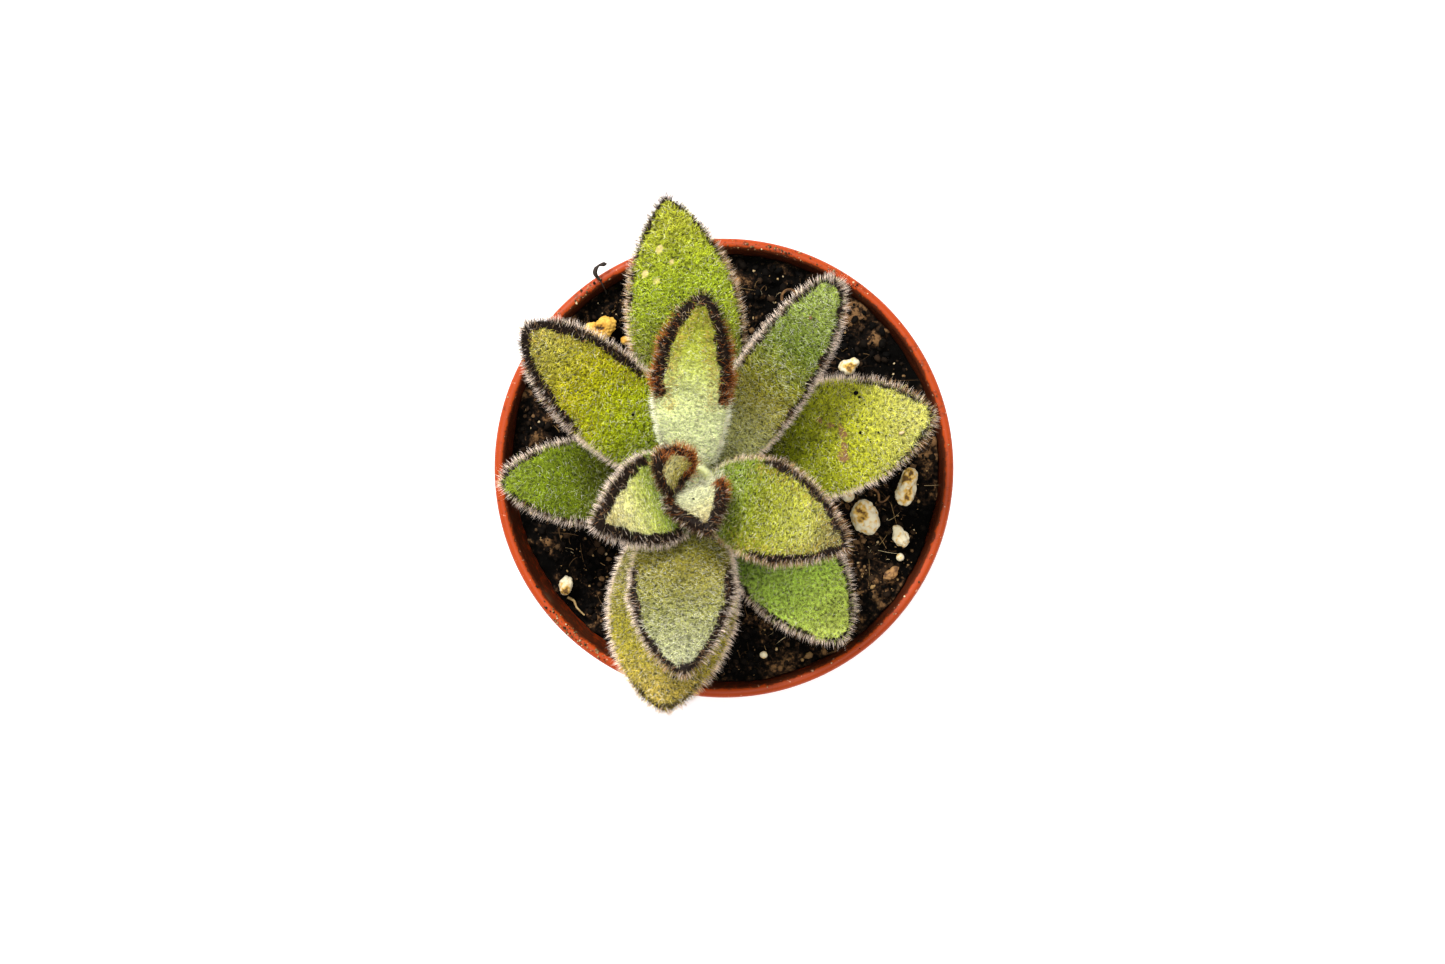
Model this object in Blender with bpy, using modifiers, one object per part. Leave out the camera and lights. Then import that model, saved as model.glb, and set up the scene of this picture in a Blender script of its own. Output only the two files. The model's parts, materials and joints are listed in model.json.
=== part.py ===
"""Potted kalanchoe: a small felt-leaved succulent in a 5.5 cm plastic nursery pot.

Frame: +Z up, +X to the right, +Y to the back, metres. The origin is the middle of
the pot's underside. The plant is built the way it grows: a stem rooted in the soil,
opposite pairs of thick leaves up the stem, and two bud leaves at its tip. White
perlite, bark and root ends lie on the soil.
"""

import math
from collections import namedtuple

import bmesh
import bpy
import numpy as np
from mathutils import Vector

MM = 0.001

# ---------------------------------------------------------------- driving sizes
POT_RIM_DIAMETER = 55.0 * MM
POT_BASE_DIAMETER = 38.0 * MM
POT_HEIGHT = 50.0 * MM
POT_WALL = 0.9 * MM
POT_FLOOR = 1.2 * MM
RIM_BEAD = 1.3 * MM              # thickness of the rolled lip
COLLAR_HEIGHT = 9.0 * MM         # the straighter band under the lip
COLLAR_DRAFT = 1.2 * MM          # how much the collar narrows from lip to foot
COLLAR_STEP = 0.7 * MM           # how far the body steps in below the collar
FOOT_ROUND = 0.8 * MM
DRAIN_HOLES = 6
DRAIN_HOLE_DIAMETER = 3.6 * MM

SOIL_DROP = 3.0 * MM             # soil surface below the lip
SOIL_SLUMP = 3.4 * MM            # extra drop at the front left edge
SOIL_RIPPLE = 0.35 * MM

STEM_OFFSET = Vector((-2.6 * MM, -1.6 * MM))
STEM_LEAN = Vector((-0.06, -0.01))
STEM_FOOT_RADIUS = 2.1 * MM
STEM_TOP_RADIUS = 1.5 * MM
STEM_HEIGHT = 20.0 * MM
STEM_ROOTED = 6.0 * MM           # length of stem in the soil

FIT_GAP = 0.3 * MM               # room between pieces that touch
AXIS_MERGE = 0.02 * MM           # welds the turned shapes' points on their axis

POT_STEPS = 48
SOIL_STEPS = 40

SOIL_TOP = POT_HEIGHT - SOIL_DROP

# --------------------------------------------------------------------- materials
TERRACOTTA = ("terracotta plastic", (0.56, 0.12, 0.035), 0.45)
PEAT = ("peat soil", (0.018, 0.011, 0.007), 0.95)
STEM_FELT = ("felted stem", (0.35, 0.36, 0.20), 0.9)
GREEN_FELT = ("felted leaf", (0.24, 0.31, 0.06), 0.85)
DARK_FELT = ("felted leaf, shaded green", (0.12, 0.20, 0.05), 0.85)
BUD_FELT = ("felted bud leaf", (0.14, 0.07, 0.03), 0.85)
PERLITE = ("perlite", (0.78, 0.74, 0.60), 0.9)
YELLOW_GRAIN = ("stained perlite", (0.70, 0.43, 0.10), 0.9)
BARK = ("bark", (0.34, 0.24, 0.13), 0.9)
ROOT = ("root", (0.30, 0.20, 0.10), 0.9)


def material(recipe):
    """A Principled material from (name, linear colour, roughness), made once."""
    name, colour, roughness = recipe
    made = bpy.data.materials.get(name)
    if made:
        return made
    made = bpy.data.materials.new(name)
    made.use_nodes = True
    shader = made.node_tree.nodes["Principled BSDF"]
    shader.inputs["Base Color"].default_value = (*colour, 1.0)
    shader.inputs["Roughness"].default_value = roughness
    shader.inputs["Metallic"].default_value = 0.0
    return made


# ------------------------------------------------------------------ scene helpers
def clear_scene():
    for old in list(bpy.data.objects):
        bpy.data.objects.remove(old, do_unlink=True)


def new_collection(name):
    group = bpy.data.collections.new(name)
    bpy.context.scene.collection.children.link(group)
    return group


def add_object(name, data, group, recipe=None):
    thing = bpy.data.objects.new(name, data)
    group.objects.link(thing)
    if recipe:
        data.materials.append(material(recipe))
    return thing


def mesh_from_bmesh(name, shape):
    mesh = bpy.data.meshes.new(name)
    shape.to_mesh(mesh)
    shape.free()
    mesh.shade_smooth()
    return mesh


def frozen_mesh(thing):
    """The object's shape with its modifiers applied; the object is removed."""
    graph = bpy.context.evaluated_depsgraph_get()
    graph.update()
    mesh = bpy.data.meshes.new_from_object(thing.evaluated_get(graph))
    bpy.data.objects.remove(thing, do_unlink=True)
    shape = bmesh.new()
    shape.from_mesh(mesh)
    bmesh.ops.remove_doubles(shape, verts=shape.verts, dist=0.01 * MM)
    bmesh.ops.recalc_face_normals(shape, faces=shape.faces)
    shape.to_mesh(mesh)
    shape.free()
    return mesh


def turned(name, profile, steps, group, recipe=None):
    """Turn (radius, height) points about Z; they run down the outer side."""
    shape = bmesh.new()
    points = [shape.verts.new((radius, 0.0, height)) for radius, height in profile]
    for first, second in zip(points, points[1:]):
        shape.edges.new((first, second))
    thing = add_object(name, mesh_from_bmesh(name, shape), group, recipe)
    screw = thing.modifiers.new("Turn", "SCREW")
    screw.steps = steps
    screw.render_steps = steps
    screw.use_merge_vertices = True
    screw.merge_threshold = AXIS_MERGE
    screw.use_smooth_shade = True
    return thing


# --------------------------------------------------------------------------- pot
RIM_RADIUS = POT_RIM_DIAMETER / 2
BASE_RADIUS = POT_BASE_DIAMETER / 2
COLLAR_FOOT = POT_HEIGHT - COLLAR_HEIGHT
LIP_OVERHANG = RIM_BEAD - POT_WALL
COLLAR_RADIUS = RIM_RADIUS - LIP_OVERHANG
BODY_TOP_RADIUS = COLLAR_RADIUS - COLLAR_DRAFT - COLLAR_STEP


def outer_radius(height):
    """Outside of the pot's wall at a height, without the lip and the foot."""
    if height >= COLLAR_FOOT:
        return COLLAR_RADIUS - COLLAR_DRAFT * (POT_HEIGHT - height) / COLLAR_HEIGHT
    share = height / COLLAR_FOOT
    return BASE_RADIUS + (BODY_TOP_RADIUS - BASE_RADIUS) * share


def inner_radius(height):
    """Inside of the pot's wall; its step lies one wall above the outer step."""
    if height >= COLLAR_FOOT + POT_WALL:
        return outer_radius(height) - POT_WALL
    return outer_radius(min(height, COLLAR_FOOT - 0.01 * MM)) - POT_WALL


def inner_step_points(gap=0.0):
    """The inner wall from the floor to the step, going up, moved in by a gap."""
    step = COLLAR_FOOT + POT_WALL
    low = POT_FLOOR + gap
    return [
        (inner_radius(low) - gap, low),
        (inner_radius(step - 0.01 * MM) - gap, step + gap),
        (inner_radius(step) - gap, step + POT_WALL + gap),
    ]


def pot_profile():
    """From the floor's middle, up the inside, over the lip and down the outside."""
    bead = RIM_BEAD / 2
    bead_middle = (RIM_RADIUS - bead, POT_HEIGHT - bead)
    lip = []
    for angle in (165, 135, 105, 75, 45, 15, -15, -45):
        turn = math.radians(angle)
        lip.append((bead_middle[0] + bead * math.cos(turn),
                    bead_middle[1] + bead * math.sin(turn)))
    lip_foot = POT_HEIGHT - RIM_BEAD
    foot = [(outer_radius(lip_foot), lip_foot),
            (outer_radius(COLLAR_FOOT), COLLAR_FOOT),
            (BODY_TOP_RADIUS, COLLAR_FOOT - COLLAR_STEP),
            (outer_radius(FOOT_ROUND), FOOT_ROUND),
            (BASE_RADIUS - 0.3 * FOOT_ROUND, 0.3 * FOOT_ROUND),
            (BASE_RADIUS - FOOT_ROUND, 0.0),
            (0.0, 0.0)]
    return [(0.0, POT_FLOOR)] + inner_step_points() + lip + foot


def make_pot(group, cutters):
    pot = turned("pot", pot_profile(), POT_STEPS, group, TERRACOTTA)
    ring = (BASE_RADIUS - FOOT_ROUND) - DRAIN_HOLE_DIAMETER
    for number in range(DRAIN_HOLES):
        angle = 2 * math.pi * number / DRAIN_HOLES
        shape = bmesh.new()
        bmesh.ops.create_cone(shape, cap_ends=True, segments=12,
                              radius1=DRAIN_HOLE_DIAMETER / 2,
                              radius2=DRAIN_HOLE_DIAMETER / 2, depth=4 * POT_FLOOR)
        drill = add_object(f"drill_{number}", mesh_from_bmesh("drill", shape), cutters)
        drill.location = (ring * math.cos(angle), ring * math.sin(angle), 0.0)
        drill.hide_render = True
        drill.display_type = "WIRE"
        cut = pot.modifiers.new(f"Drain {number}", "BOOLEAN")
        cut.operation = "DIFFERENCE"
        cut.solver = "EXACT"
        cut.object = drill
    return pot


# -------------------------------------------------------------------------- soil
def smooth_step(value):
    value = min(max(value, 0.0), 1.0)
    return value * value * (3 - 2 * value)


def soil_height(x, y):
    """Uneven soil surface: soft ripples, and a slump towards the front left wall."""
    wave = 2 * math.pi / (9 * MM)
    ripple = (math.sin(wave * x + 0.8) * math.cos(1.3 * wave * y)
              + 0.6 * math.sin(2.1 * wave * y - 1.7 * wave * x))
    towards_front_left = (-0.80 * x - 0.60 * y) / RIM_RADIUS
    slump = smooth_step((towards_front_left - 0.45) / 0.5)
    from_stem = math.hypot(x - STEM_OFFSET.x, y - STEM_OFFSET.y)
    calm = smooth_step(from_stem / (4 * STEM_FOOT_RADIUS))
    return SOIL_TOP + calm * (SOIL_RIPPLE * ripple / 1.6 - SOIL_SLUMP * slump)


def soil_radius(height):
    return inner_radius(height) - FIT_GAP


def soil_profile():
    """Top from the middle outwards, then down the side and in to the axis."""
    edge = soil_radius(SOIL_TOP)
    shares = (0.0, 0.14, 0.28, 0.42, 0.56, 0.70, 0.83, 0.93, 1.0)
    top = [(share * edge, SOIL_TOP) for share in shares]
    side = inner_step_points(FIT_GAP)[::-1]
    return top + side + [(0.0, side[-1][1])]


def stem_axis(height):
    """Middle of the leaning stem at a height above the soil."""
    return Vector((STEM_OFFSET.x + STEM_LEAN.x * height,
                   STEM_OFFSET.y + STEM_LEAN.y * height, SOIL_TOP + height))


def stem_radius(height):
    share = min(max(height / STEM_HEIGHT, 0.0), 1.0)
    return STEM_FOOT_RADIUS + (STEM_TOP_RADIUS - STEM_FOOT_RADIUS) * share


def make_soil(group, cutters):
    """A turned plug whose top is uneven, with a blind hole for the rooted stem."""
    mesh = frozen_mesh(turned("soil", soil_profile(), SOIL_STEPS, group, PEAT))
    edge = soil_radius(SOIL_TOP)
    for vertex in mesh.vertices:
        if vertex.co.z < SOIL_TOP - 0.01 * MM:
            continue
        share = math.hypot(vertex.co.x, vertex.co.y) / edge
        height = soil_height(vertex.co.x, vertex.co.y)
        if share > 0.999:
            vertex.co.x *= soil_radius(height) / edge
            vertex.co.y *= soil_radius(height) / edge
        vertex.co.z = height
    soil = add_object("soil", mesh, group)
    depth = STEM_ROOTED + FIT_GAP
    shape = bmesh.new()
    radius = STEM_FOOT_RADIUS + FIT_GAP
    bmesh.ops.create_cone(shape, cap_ends=True, segments=20, radius1=radius,
                          radius2=radius, depth=2 * depth)
    hole = add_object("stem_hole", mesh_from_bmesh("stem_hole", shape), cutters)
    hole.location = (STEM_OFFSET.x, STEM_OFFSET.y, SOIL_TOP)
    hole.hide_render = True
    hole.display_type = "WIRE"
    cut = soil.modifiers.new("Stem hole", "BOOLEAN")
    cut.operation = "DIFFERENCE"
    cut.solver = "EXACT"
    cut.object = hole
    return soil


# -------------------------------------------------------------- tubes along a path
def tube(name, points, radii, sides, group, recipe):
    """A closed round tube along points, with a radius at each of them."""
    curve = bpy.data.curves.new(name, "CURVE")
    curve.dimensions = "3D"
    curve.bevel_depth = 1.0
    curve.bevel_resolution = max(0, sides // 2 - 2)
    curve.use_fill_caps = True
    line = curve.splines.new("POLY")
    line.points.add(len(points) - 1)
    for point, place, radius in zip(line.points, points, radii):
        point.co = (*place, 1.0)
        point.radius = radius
    guide = bpy.data.objects.new(name, curve)
    group.objects.link(guide)
    mesh = frozen_mesh(guide)
    bpy.data.curves.remove(curve)
    mesh.shade_smooth()
    return add_object(name, mesh, group, recipe)


def make_stem(group):
    """Rooted foot straight down, then the leaning, tapering part in the air."""
    heights = np.linspace(0.0, STEM_HEIGHT, 7)
    places = [Vector((STEM_OFFSET.x, STEM_OFFSET.y, SOIL_TOP - STEM_ROOTED))]
    places += [stem_axis(height) for height in heights]
    radii = [STEM_FOOT_RADIUS * 0.7] + [stem_radius(height) for height in heights]
    return tube("stem", places, radii, 10, group, STEM_FELT)


# ------------------------------------------------------------------------- leaves
# Each leaf: height on the stem, compass angle (degrees from +X towards +Y), rise
# above level at its base, lift (how much steeper it is at the tip), sway (how far
# its compass angle turns on the way), length, width, thickness, fullness of its tip
# and cup (how far its sides stand up, as a share of half its width).
Leaf = namedtuple("Leaf", "name height compass rise lift sway length width thickness "
                          "fullness cup material")

LEAVES = [
    Leaf("leaf_front_right", 3.0, 319.4, 20, 10, -16, 25.0, 10.8, 3.0, 0.75, 0.12, GREEN_FELT),
    Leaf("leaf_left_outer", 3.4, 179.5, 18, 10, 0, 22.1, 8.8, 3.0, 0.75, 0.12, DARK_FELT),
    Leaf("leaf_right_outer", 5.0, 20.7, 20, 8, -12, 28.1, 12.4, 3.0, 0.75, 0.12, GREEN_FELT),
    Leaf("leaf_back_outer", 6.0, 92.9, 26, 8, 8, 34.4, 12.2, 3.0, 0.75, 0.12, GREEN_FELT),
    Leaf("leaf_front_outer", 6.6, 255.3, 22, 4, 14, 26.1, 13.8, 3.0, 0.75, 0.12, GREEN_FELT),
    Leaf("leaf_back_right", 9.0, 53.2, 32, 6, 6, 30.8, 8.8, 3.0, 0.50, 0.12, DARK_FELT),
    Leaf("leaf_back_left", 10.2, 136.2, 32, 6, 2, 29.5, 10.4, 3.0, 0.60, 0.12, GREEN_FELT),
    Leaf("leaf_back_inner", 13.0, 94.9, 40, 6, -18, 25.6, 7.6, 2.8, 0.75, 0.14, GREEN_FELT),
    Leaf("leaf_front_inner", 13.2, 259.6, 36, 2, 16, 23.7, 11.2, 2.8, 0.75, 0.14, GREEN_FELT),
    Leaf("leaf_right_inner", 16.4, 342.8, 38, 5, -4, 20.8, 9.4, 2.6, 0.75, 0.14, GREEN_FELT),
    Leaf("leaf_left_inner", 16.6, 204.2, 46, 5, 0, 14.3, 8.2, 2.6, 0.55, 0.14, GREEN_FELT),
]
BUD_LEAVES = [
    Leaf("leaf_bud_front", 0.4, 289.4, 60, -10, 0, 7.6, 6.0, 2.0, 0.75, 0.30, BUD_FELT),
    Leaf("leaf_bud_back", 0.6, 141.7, 66, 8, 0, 9.7, 5.4, 2.0, 0.75, 0.30, BUD_FELT),
]
BUD_SPREAD = 0.9 * MM            # bud leaves start this far from the stem's axis
WIDEST_AT = 0.55                 # share of a leaf's length where it is widest
STALK_SHARE = 0.40               # width at a leaf's base as a share of its width
STALK_LIMIT = 3.2                # and the widest that a leaf's base grows, in mm
LEAF_RINGS = 11
LEAF_SIDES = 14


def leaf_midrib(leaf, height, reach):
    """Points, directions and side directions along the midrib, one per station."""
    share = np.linspace(0.0, 1.0, 200)
    rise = np.radians(leaf.rise + leaf.lift * share)
    compass = np.radians(leaf.compass + leaf.sway * share)
    along = np.stack([np.cos(rise) * np.cos(compass),
                      np.cos(rise) * np.sin(compass), np.sin(rise)], axis=1)
    step = leaf.length * MM / (len(share) - 1)
    path = np.vstack([np.zeros(3), np.cumsum((along[1:] + along[:-1]) / 2, axis=0)])
    start = np.array(stem_axis(height))
    first = math.radians(leaf.compass)
    start += reach * np.array([math.cos(first), math.sin(first), 0.0])
    side = np.stack([np.sin(compass), -np.cos(compass), np.zeros_like(compass)], axis=1)
    return share, start + path * step, side, np.cross(side, along)


def leaf_half_width(leaf, station):
    """Lance-shaped outline, widest at WIDEST_AT, on a short broad stalk."""
    inside = np.clip(station, 1e-6, 1 - 1e-6)
    power = leaf.fullness * WIDEST_AT / (1 - WIDEST_AT)
    blade = ((inside / WIDEST_AT) ** power
             * ((1 - inside) / (1 - WIDEST_AT)) ** leaf.fullness)
    round_base = np.sqrt(1 - (1 - np.minimum(station / 0.05, 1)) ** 2)
    stalk = min(STALK_SHARE * leaf.width, STALK_LIMIT) * (1 - station) ** 2
    return MM / 2 * round_base * (stalk + leaf.width * blade)


def leaf_half_thickness(leaf, station):
    """Thick in the middle, rounded off at the base and at the tip."""
    round_base = np.sqrt(1 - (1 - np.minimum(station / 0.05, 1)) ** 2)
    round_tip = np.sqrt(1 - (np.maximum(station - 0.85, 0) / 0.1501) ** 2)
    swell = 0.6 + 0.4 * np.sin(math.pi * np.minimum(station, 1) ** 0.9)
    return leaf.thickness / 2 * MM * swell * round_base * round_tip


def make_leaf(leaf, height, reach, group):
    """A sphere drawn out along the midrib: its poles become the base and the tip."""
    share, path, side, up = leaf_midrib(leaf, height, reach)
    shape = bmesh.new()
    bmesh.ops.create_uvsphere(shape, u_segments=LEAF_SIDES, v_segments=LEAF_RINGS, radius=1.0)
    for vertex in shape.verts:
        ball = vertex.co
        station = min(max((1 + ball.z) / 2, 0.0), 1.0)
        ring = math.hypot(ball.x, ball.y)
        across, over = (ball.x / ring, ball.y / ring) if ring > 1e-4 else (0.0, 0.0)
        square = 2 / 2.6
        across = math.copysign(abs(across) ** square, across)
        over = math.copysign(abs(over) ** square, over)
        half = float(leaf_half_width(leaf, station))
        x = -half * across           # side, up and along are a left-handed set
        z = float(leaf_half_thickness(leaf, station)) * over
        z += leaf.cup * x * x / (leaf.width / 2 * MM)
        frame = [np.array([np.interp(station, share, line[:, axis]) for axis in range(3)])
                 for line in (path, side, up)]
        vertex.co = Vector(frame[0] + x * frame[1] + z * frame[2])
    return add_object(leaf.name, mesh_from_bmesh(leaf.name, shape), group, leaf.material)


def make_leaves(group):
    for leaf in LEAVES:
        height = leaf.height * MM
        make_leaf(leaf, height, stem_radius(height) + FIT_GAP, group)
    for leaf in BUD_LEAVES:
        make_leaf(leaf, STEM_HEIGHT + leaf.height * MM, BUD_SPREAD, group)


# ------------------------------------------------------------- grains on the soil
# Each grain: distance from the pot's axis as a share of the soil's radius, compass
# angle, half sizes along its own axes, turn about Z, how lumpy and how waisted it is.
Grain = namedtuple("Grain", "name share compass half turn lumpy waist seed material")

GRAINS = [
    Grain("perlite_large", 0.70, 341.0, (1.7, 2.1, 1.5), 15, 0.14, 0.0, 1, PERLITE),
    Grain("perlite_small", 0.60, 347.5, (0.75, 0.8, 0.7), 0, 0.10, 0.0, 2, PERLITE),
    Grain("perlite_twin", 0.86, 354.0, (1.45, 2.4, 1.4), -12, 0.12, 0.35, 3, PERLITE),
    Grain("perlite_pointed", 0.89, 339.0, (1.0, 1.4, 1.0), 20, 0.16, 0.0, 4, PERLITE),
    Grain("perlite_bead", 0.93, 333.2, (0.5, 0.5, 0.45), 0, 0.08, 0.0, 5, PERLITE),
    Grain("seed_husk", 0.95, 328.0, (1.1, 0.8, 0.6), 40, 0.20, 0.0, 6, BARK),
    Grain("perlite_back_right", 0.76, 39.5, (1.4, 1.1, 1.0), 10, 0.22, 0.0, 7, BARK),
    Grain("perlite_yellow", 0.88, 131.8, (2.1, 1.6, 1.2), 25, 0.22, 0.0, 8, YELLOW_GRAIN),
    Grain("perlite_yellow_chip", 0.76, 127.6, (0.6, 0.55, 0.5), 0, 0.15, 0.0, 9, YELLOW_GRAIN),
    Grain("perlite_front_left", 0.93, 216.5, (0.85, 1.2, 0.8), -8, 0.10, 0.0, 10, PERLITE),
    Grain("perlite_front", 0.90, 282.0, (0.5, 0.45, 0.4), 0, 0.10, 0.0, 11, PERLITE),
    Grain("bark_chip", 0.87, 87.0, (1.0, 0.7, 0.5), 30, 0.20, 0.0, 12, BARK),
]
GRAIN_SINK = 0.25                # share of a grain's height that the soil has settled round


def highest_soil(x, y, reach):
    """Highest soil under a round footprint."""
    spots = [(0.0, 0.0)]
    for number in range(12):
        angle = math.radians(30 * number)
        spots.append((reach * math.cos(angle), reach * math.sin(angle)))
        spots.append((reach / 2 * math.cos(angle), reach / 2 * math.sin(angle)))
    return max(soil_height(x + dx, y + dy) for dx, dy in spots)


def make_grain(grain, group):
    """An icosphere with smooth seeded lumps and, if asked, a waist."""
    half = Vector(grain.half) * MM
    reach = max(half.x, half.y) * (1 + grain.lumpy)
    limit = soil_radius(SOIL_TOP - SOIL_SLUMP) - reach
    distance = min(grain.share * soil_radius(SOIL_TOP), limit)
    angle = math.radians(grain.compass)
    x, y = distance * math.cos(angle), distance * math.sin(angle)
    rng = np.random.default_rng(grain.seed)
    waves = rng.normal(size=(5, 3)) * 1.6
    phases = rng.uniform(0, 2 * math.pi, 5)
    shape = bmesh.new()
    bmesh.ops.create_icosphere(shape, subdivisions=2, radius=1.0)
    turn = math.radians(grain.turn)
    for vertex in shape.verts:
        ball = vertex.co.copy()
        lumps = float(np.sin(waves @ np.array(ball) + phases).sum()) / 5
        swell = 1 + grain.lumpy * lumps
        waist = 1 - grain.waist * math.exp(-(ball.y / 0.3) ** 2)
        local = Vector((ball.x * half.x * swell * waist, ball.y * half.y * swell,
                        ball.z * half.z * swell * waist))
        vertex.co = Vector((local.x * math.cos(turn) - local.y * math.sin(turn),
                            local.x * math.sin(turn) + local.y * math.cos(turn), local.z))
    lowest = min(vertex.co.z for vertex in shape.verts)
    lift = highest_soil(x, y, reach) + FIT_GAP - lowest
    bmesh.ops.translate(shape, verts=shape.verts, vec=(x, y, lift))
    return add_object(grain.name, mesh_from_bmesh(grain.name, shape), group, grain.material)


# ---------------------------------------------------------------- roots and twigs
ROOT_RADIUS = 0.18 * MM
TWIG_RADIUS = 0.22 * MM
ROOT_CLEARANCE = ROOT_RADIUS + 2 * FIT_GAP
CURL_RADIUS = 0.95 * MM


def on_soil(share, compass, lift=0.0):
    """A place just above the soil, from a share of its radius and a compass angle."""
    angle = math.radians(compass)
    radius = min(share * soil_radius(SOIL_TOP),
                 soil_radius(SOIL_TOP - SOIL_SLUMP) - 3 * ROOT_RADIUS)
    x, y = radius * math.cos(angle), radius * math.sin(angle)
    return Vector((x, y, highest_soil(x, y, 4 * ROOT_RADIUS) + ROOT_CLEARANCE + lift))


def smooth_path(points, count):
    """A Catmull-Rom curve through points, read at evenly spaced shares."""
    knots = [np.array(point) for point in points]
    knots = [2 * knots[0] - knots[1]] + knots + [2 * knots[-1] - knots[-2]]
    places = []
    for value in np.linspace(0, len(points) - 1, count):
        index = min(int(value), len(points) - 2)
        u = value - index
        p0, p1, p2, p3 = knots[index:index + 4]
        places.append(0.5 * (2 * p1 + (p2 - p0) * u + (2 * p0 - 5 * p1 + 4 * p2 - p3) * u ** 2
                             + (3 * p1 - p0 - 3 * p2 + p3) * u ** 3))
    return [Vector(place) for place in places]


def make_root(name, points, radius, count, group, recipe):
    places = smooth_path(points, count)
    radii = [radius * (1 - 0.5 * number / (count - 1)) for number in range(count)]
    return tube(name, places, radii, 6, group, recipe)


def curl_points():
    """Three quarters of a ring lying on the soil by the back wall, with a tail."""
    middle = on_soil(0.86, 69.0)
    ring = []
    for number in range(7):
        angle = math.radians(200 - 45 * number)
        ring.append(middle + Vector((CURL_RADIUS * math.cos(angle),
                                     CURL_RADIUS * math.sin(angle),
                                     0.15 * MM * number)))
    tail = middle + Vector((2.2 * CURL_RADIUS, -1.6 * CURL_RADIUS, 0.15 * MM))
    return ring + [tail]


def twig_points():
    """From the soil at the back left, over the lip and hooked on itself outside."""
    angle = math.radians(123.0)
    outwards = Vector((math.cos(angle), math.sin(angle), 0.0))
    sideways = Vector((-math.sin(angle), math.cos(angle), 0.0))
    over_lip = POT_HEIGHT + TWIG_RADIUS + 2 * FIT_GAP
    inside = soil_radius(SOIL_TOP) - 1.6 * MM
    steps = [
        (inside, 0.6, SOIL_TOP + 0.9 * MM),
        (inside + 0.7 * MM, 0.3, SOIL_TOP + 2.4 * MM),
        (RIM_RADIUS - RIM_BEAD, 0.2, over_lip + 0.2 * MM),
        (RIM_RADIUS + 0.4 * MM, 0.3, over_lip + 0.6 * MM),
        (RIM_RADIUS + 1.3 * MM, 0.1, over_lip + 0.8 * MM),
        (RIM_RADIUS + 1.6 * MM, -0.6, over_lip + 0.7 * MM),
        (RIM_RADIUS + 1.3 * MM, -1.1, over_lip + 0.5 * MM),
    ]
    return [outwards * radius + sideways * aside * MM + Vector((0, 0, height))
            for radius, aside, height in steps]


def make_roots(group):
    make_root("root_curl", curl_points(), ROOT_RADIUS, 20, group, ROOT)
    snake = [on_soil(0.70, 352.5), on_soil(0.735, 351.0), on_soil(0.75, 347.8, 0.1 * MM),
             on_soil(0.775, 348.6), on_soil(0.79, 350.5)]
    make_root("root_snake", snake, ROOT_RADIUS, 14, group, ROOT)
    cream = [on_soil(0.985, 219.5), on_soil(0.95, 221.5), on_soil(0.975, 223.5),
             on_soil(0.985, 226.5)]
    make_root("root_cream", cream, ROOT_RADIUS, 12, group, ROOT)
    make_root("twig_over_rim", twig_points(), TWIG_RADIUS, 16, group, BARK)


# --------------------------------------------------------------------------- build
def main():
    clear_scene()
    group = new_collection("potted kalanchoe")
    cutters = new_collection("cutters")
    make_pot(group, cutters)
    make_soil(group, cutters)
    make_stem(group)
    make_leaves(group)
    for grain in GRAINS:
        make_grain(grain, group)
    make_roots(group)


main()
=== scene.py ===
# %% [markdown]
# # A potted panda plant, modelled around its CAD frame
#
# The plant is a young Kalanchoe with thick leaves under a felt of short hairs, in a small
# terracotta-coloured nursery pot. The CAD frame holds every piece's place and size, and this
# file gives each piece its finished surface. We load the frame first, because every other
# cell reads its places from there.

# %% Load the frame
import json
import math

import bpy
import numpy as np
from mathutils import Matrix, Vector


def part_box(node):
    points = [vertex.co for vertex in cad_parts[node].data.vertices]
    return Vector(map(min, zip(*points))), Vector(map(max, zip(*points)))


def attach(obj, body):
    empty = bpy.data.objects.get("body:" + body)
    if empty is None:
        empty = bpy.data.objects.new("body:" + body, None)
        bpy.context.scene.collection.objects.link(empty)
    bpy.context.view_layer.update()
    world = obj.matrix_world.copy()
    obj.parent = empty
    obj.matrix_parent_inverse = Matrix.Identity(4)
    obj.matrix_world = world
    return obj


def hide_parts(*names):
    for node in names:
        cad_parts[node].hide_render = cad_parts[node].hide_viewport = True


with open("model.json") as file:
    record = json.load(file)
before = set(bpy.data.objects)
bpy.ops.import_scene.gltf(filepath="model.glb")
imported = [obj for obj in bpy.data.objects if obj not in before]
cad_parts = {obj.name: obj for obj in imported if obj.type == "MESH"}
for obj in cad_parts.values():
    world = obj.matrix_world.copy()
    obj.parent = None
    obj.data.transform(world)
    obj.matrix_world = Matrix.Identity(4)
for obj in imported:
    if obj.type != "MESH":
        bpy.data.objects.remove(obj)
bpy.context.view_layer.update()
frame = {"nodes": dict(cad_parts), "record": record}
MM = 0.001
print("frame nodes:", len(frame["nodes"]))

# %% [markdown]
# ## Small helpers
#
# Colours are easier to judge as sRGB hex values, but shaders work in linear light, so one
# function turns them over. One more function adds a node with its settings and links, and a
# third puts whole numpy arrays into a mesh. A mesh could also be made face by face, but the
# felt has hundreds of thousands of faces, and arrays make them in one go.


# %% Colour and node helpers
def linear(hex_colour):
    """sRGB hex to linear RGB: divide by 12.92 in the darks, else a 2.4 power curve."""
    value = np.array([int(hex_colour[i:i + 2], 16) for i in (1, 3, 5)]) / 255
    return np.where(value <= 0.04045, value / 12.92, ((value + 0.055) / 1.055) ** 2.4)


def add_node(tree, kind, inputs=None, **settings):
    """Add a node; inputs maps socket names or numbers to a value or to another socket."""
    node = tree.nodes.new(kind)
    for name, value in settings.items():
        setattr(node, name, value)
    for name, value in (inputs or {}).items():
        if isinstance(value, bpy.types.NodeSocket):
            tree.links.new(value, node.inputs[name])
        else:
            node.inputs[name].default_value = value
    return node


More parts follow.
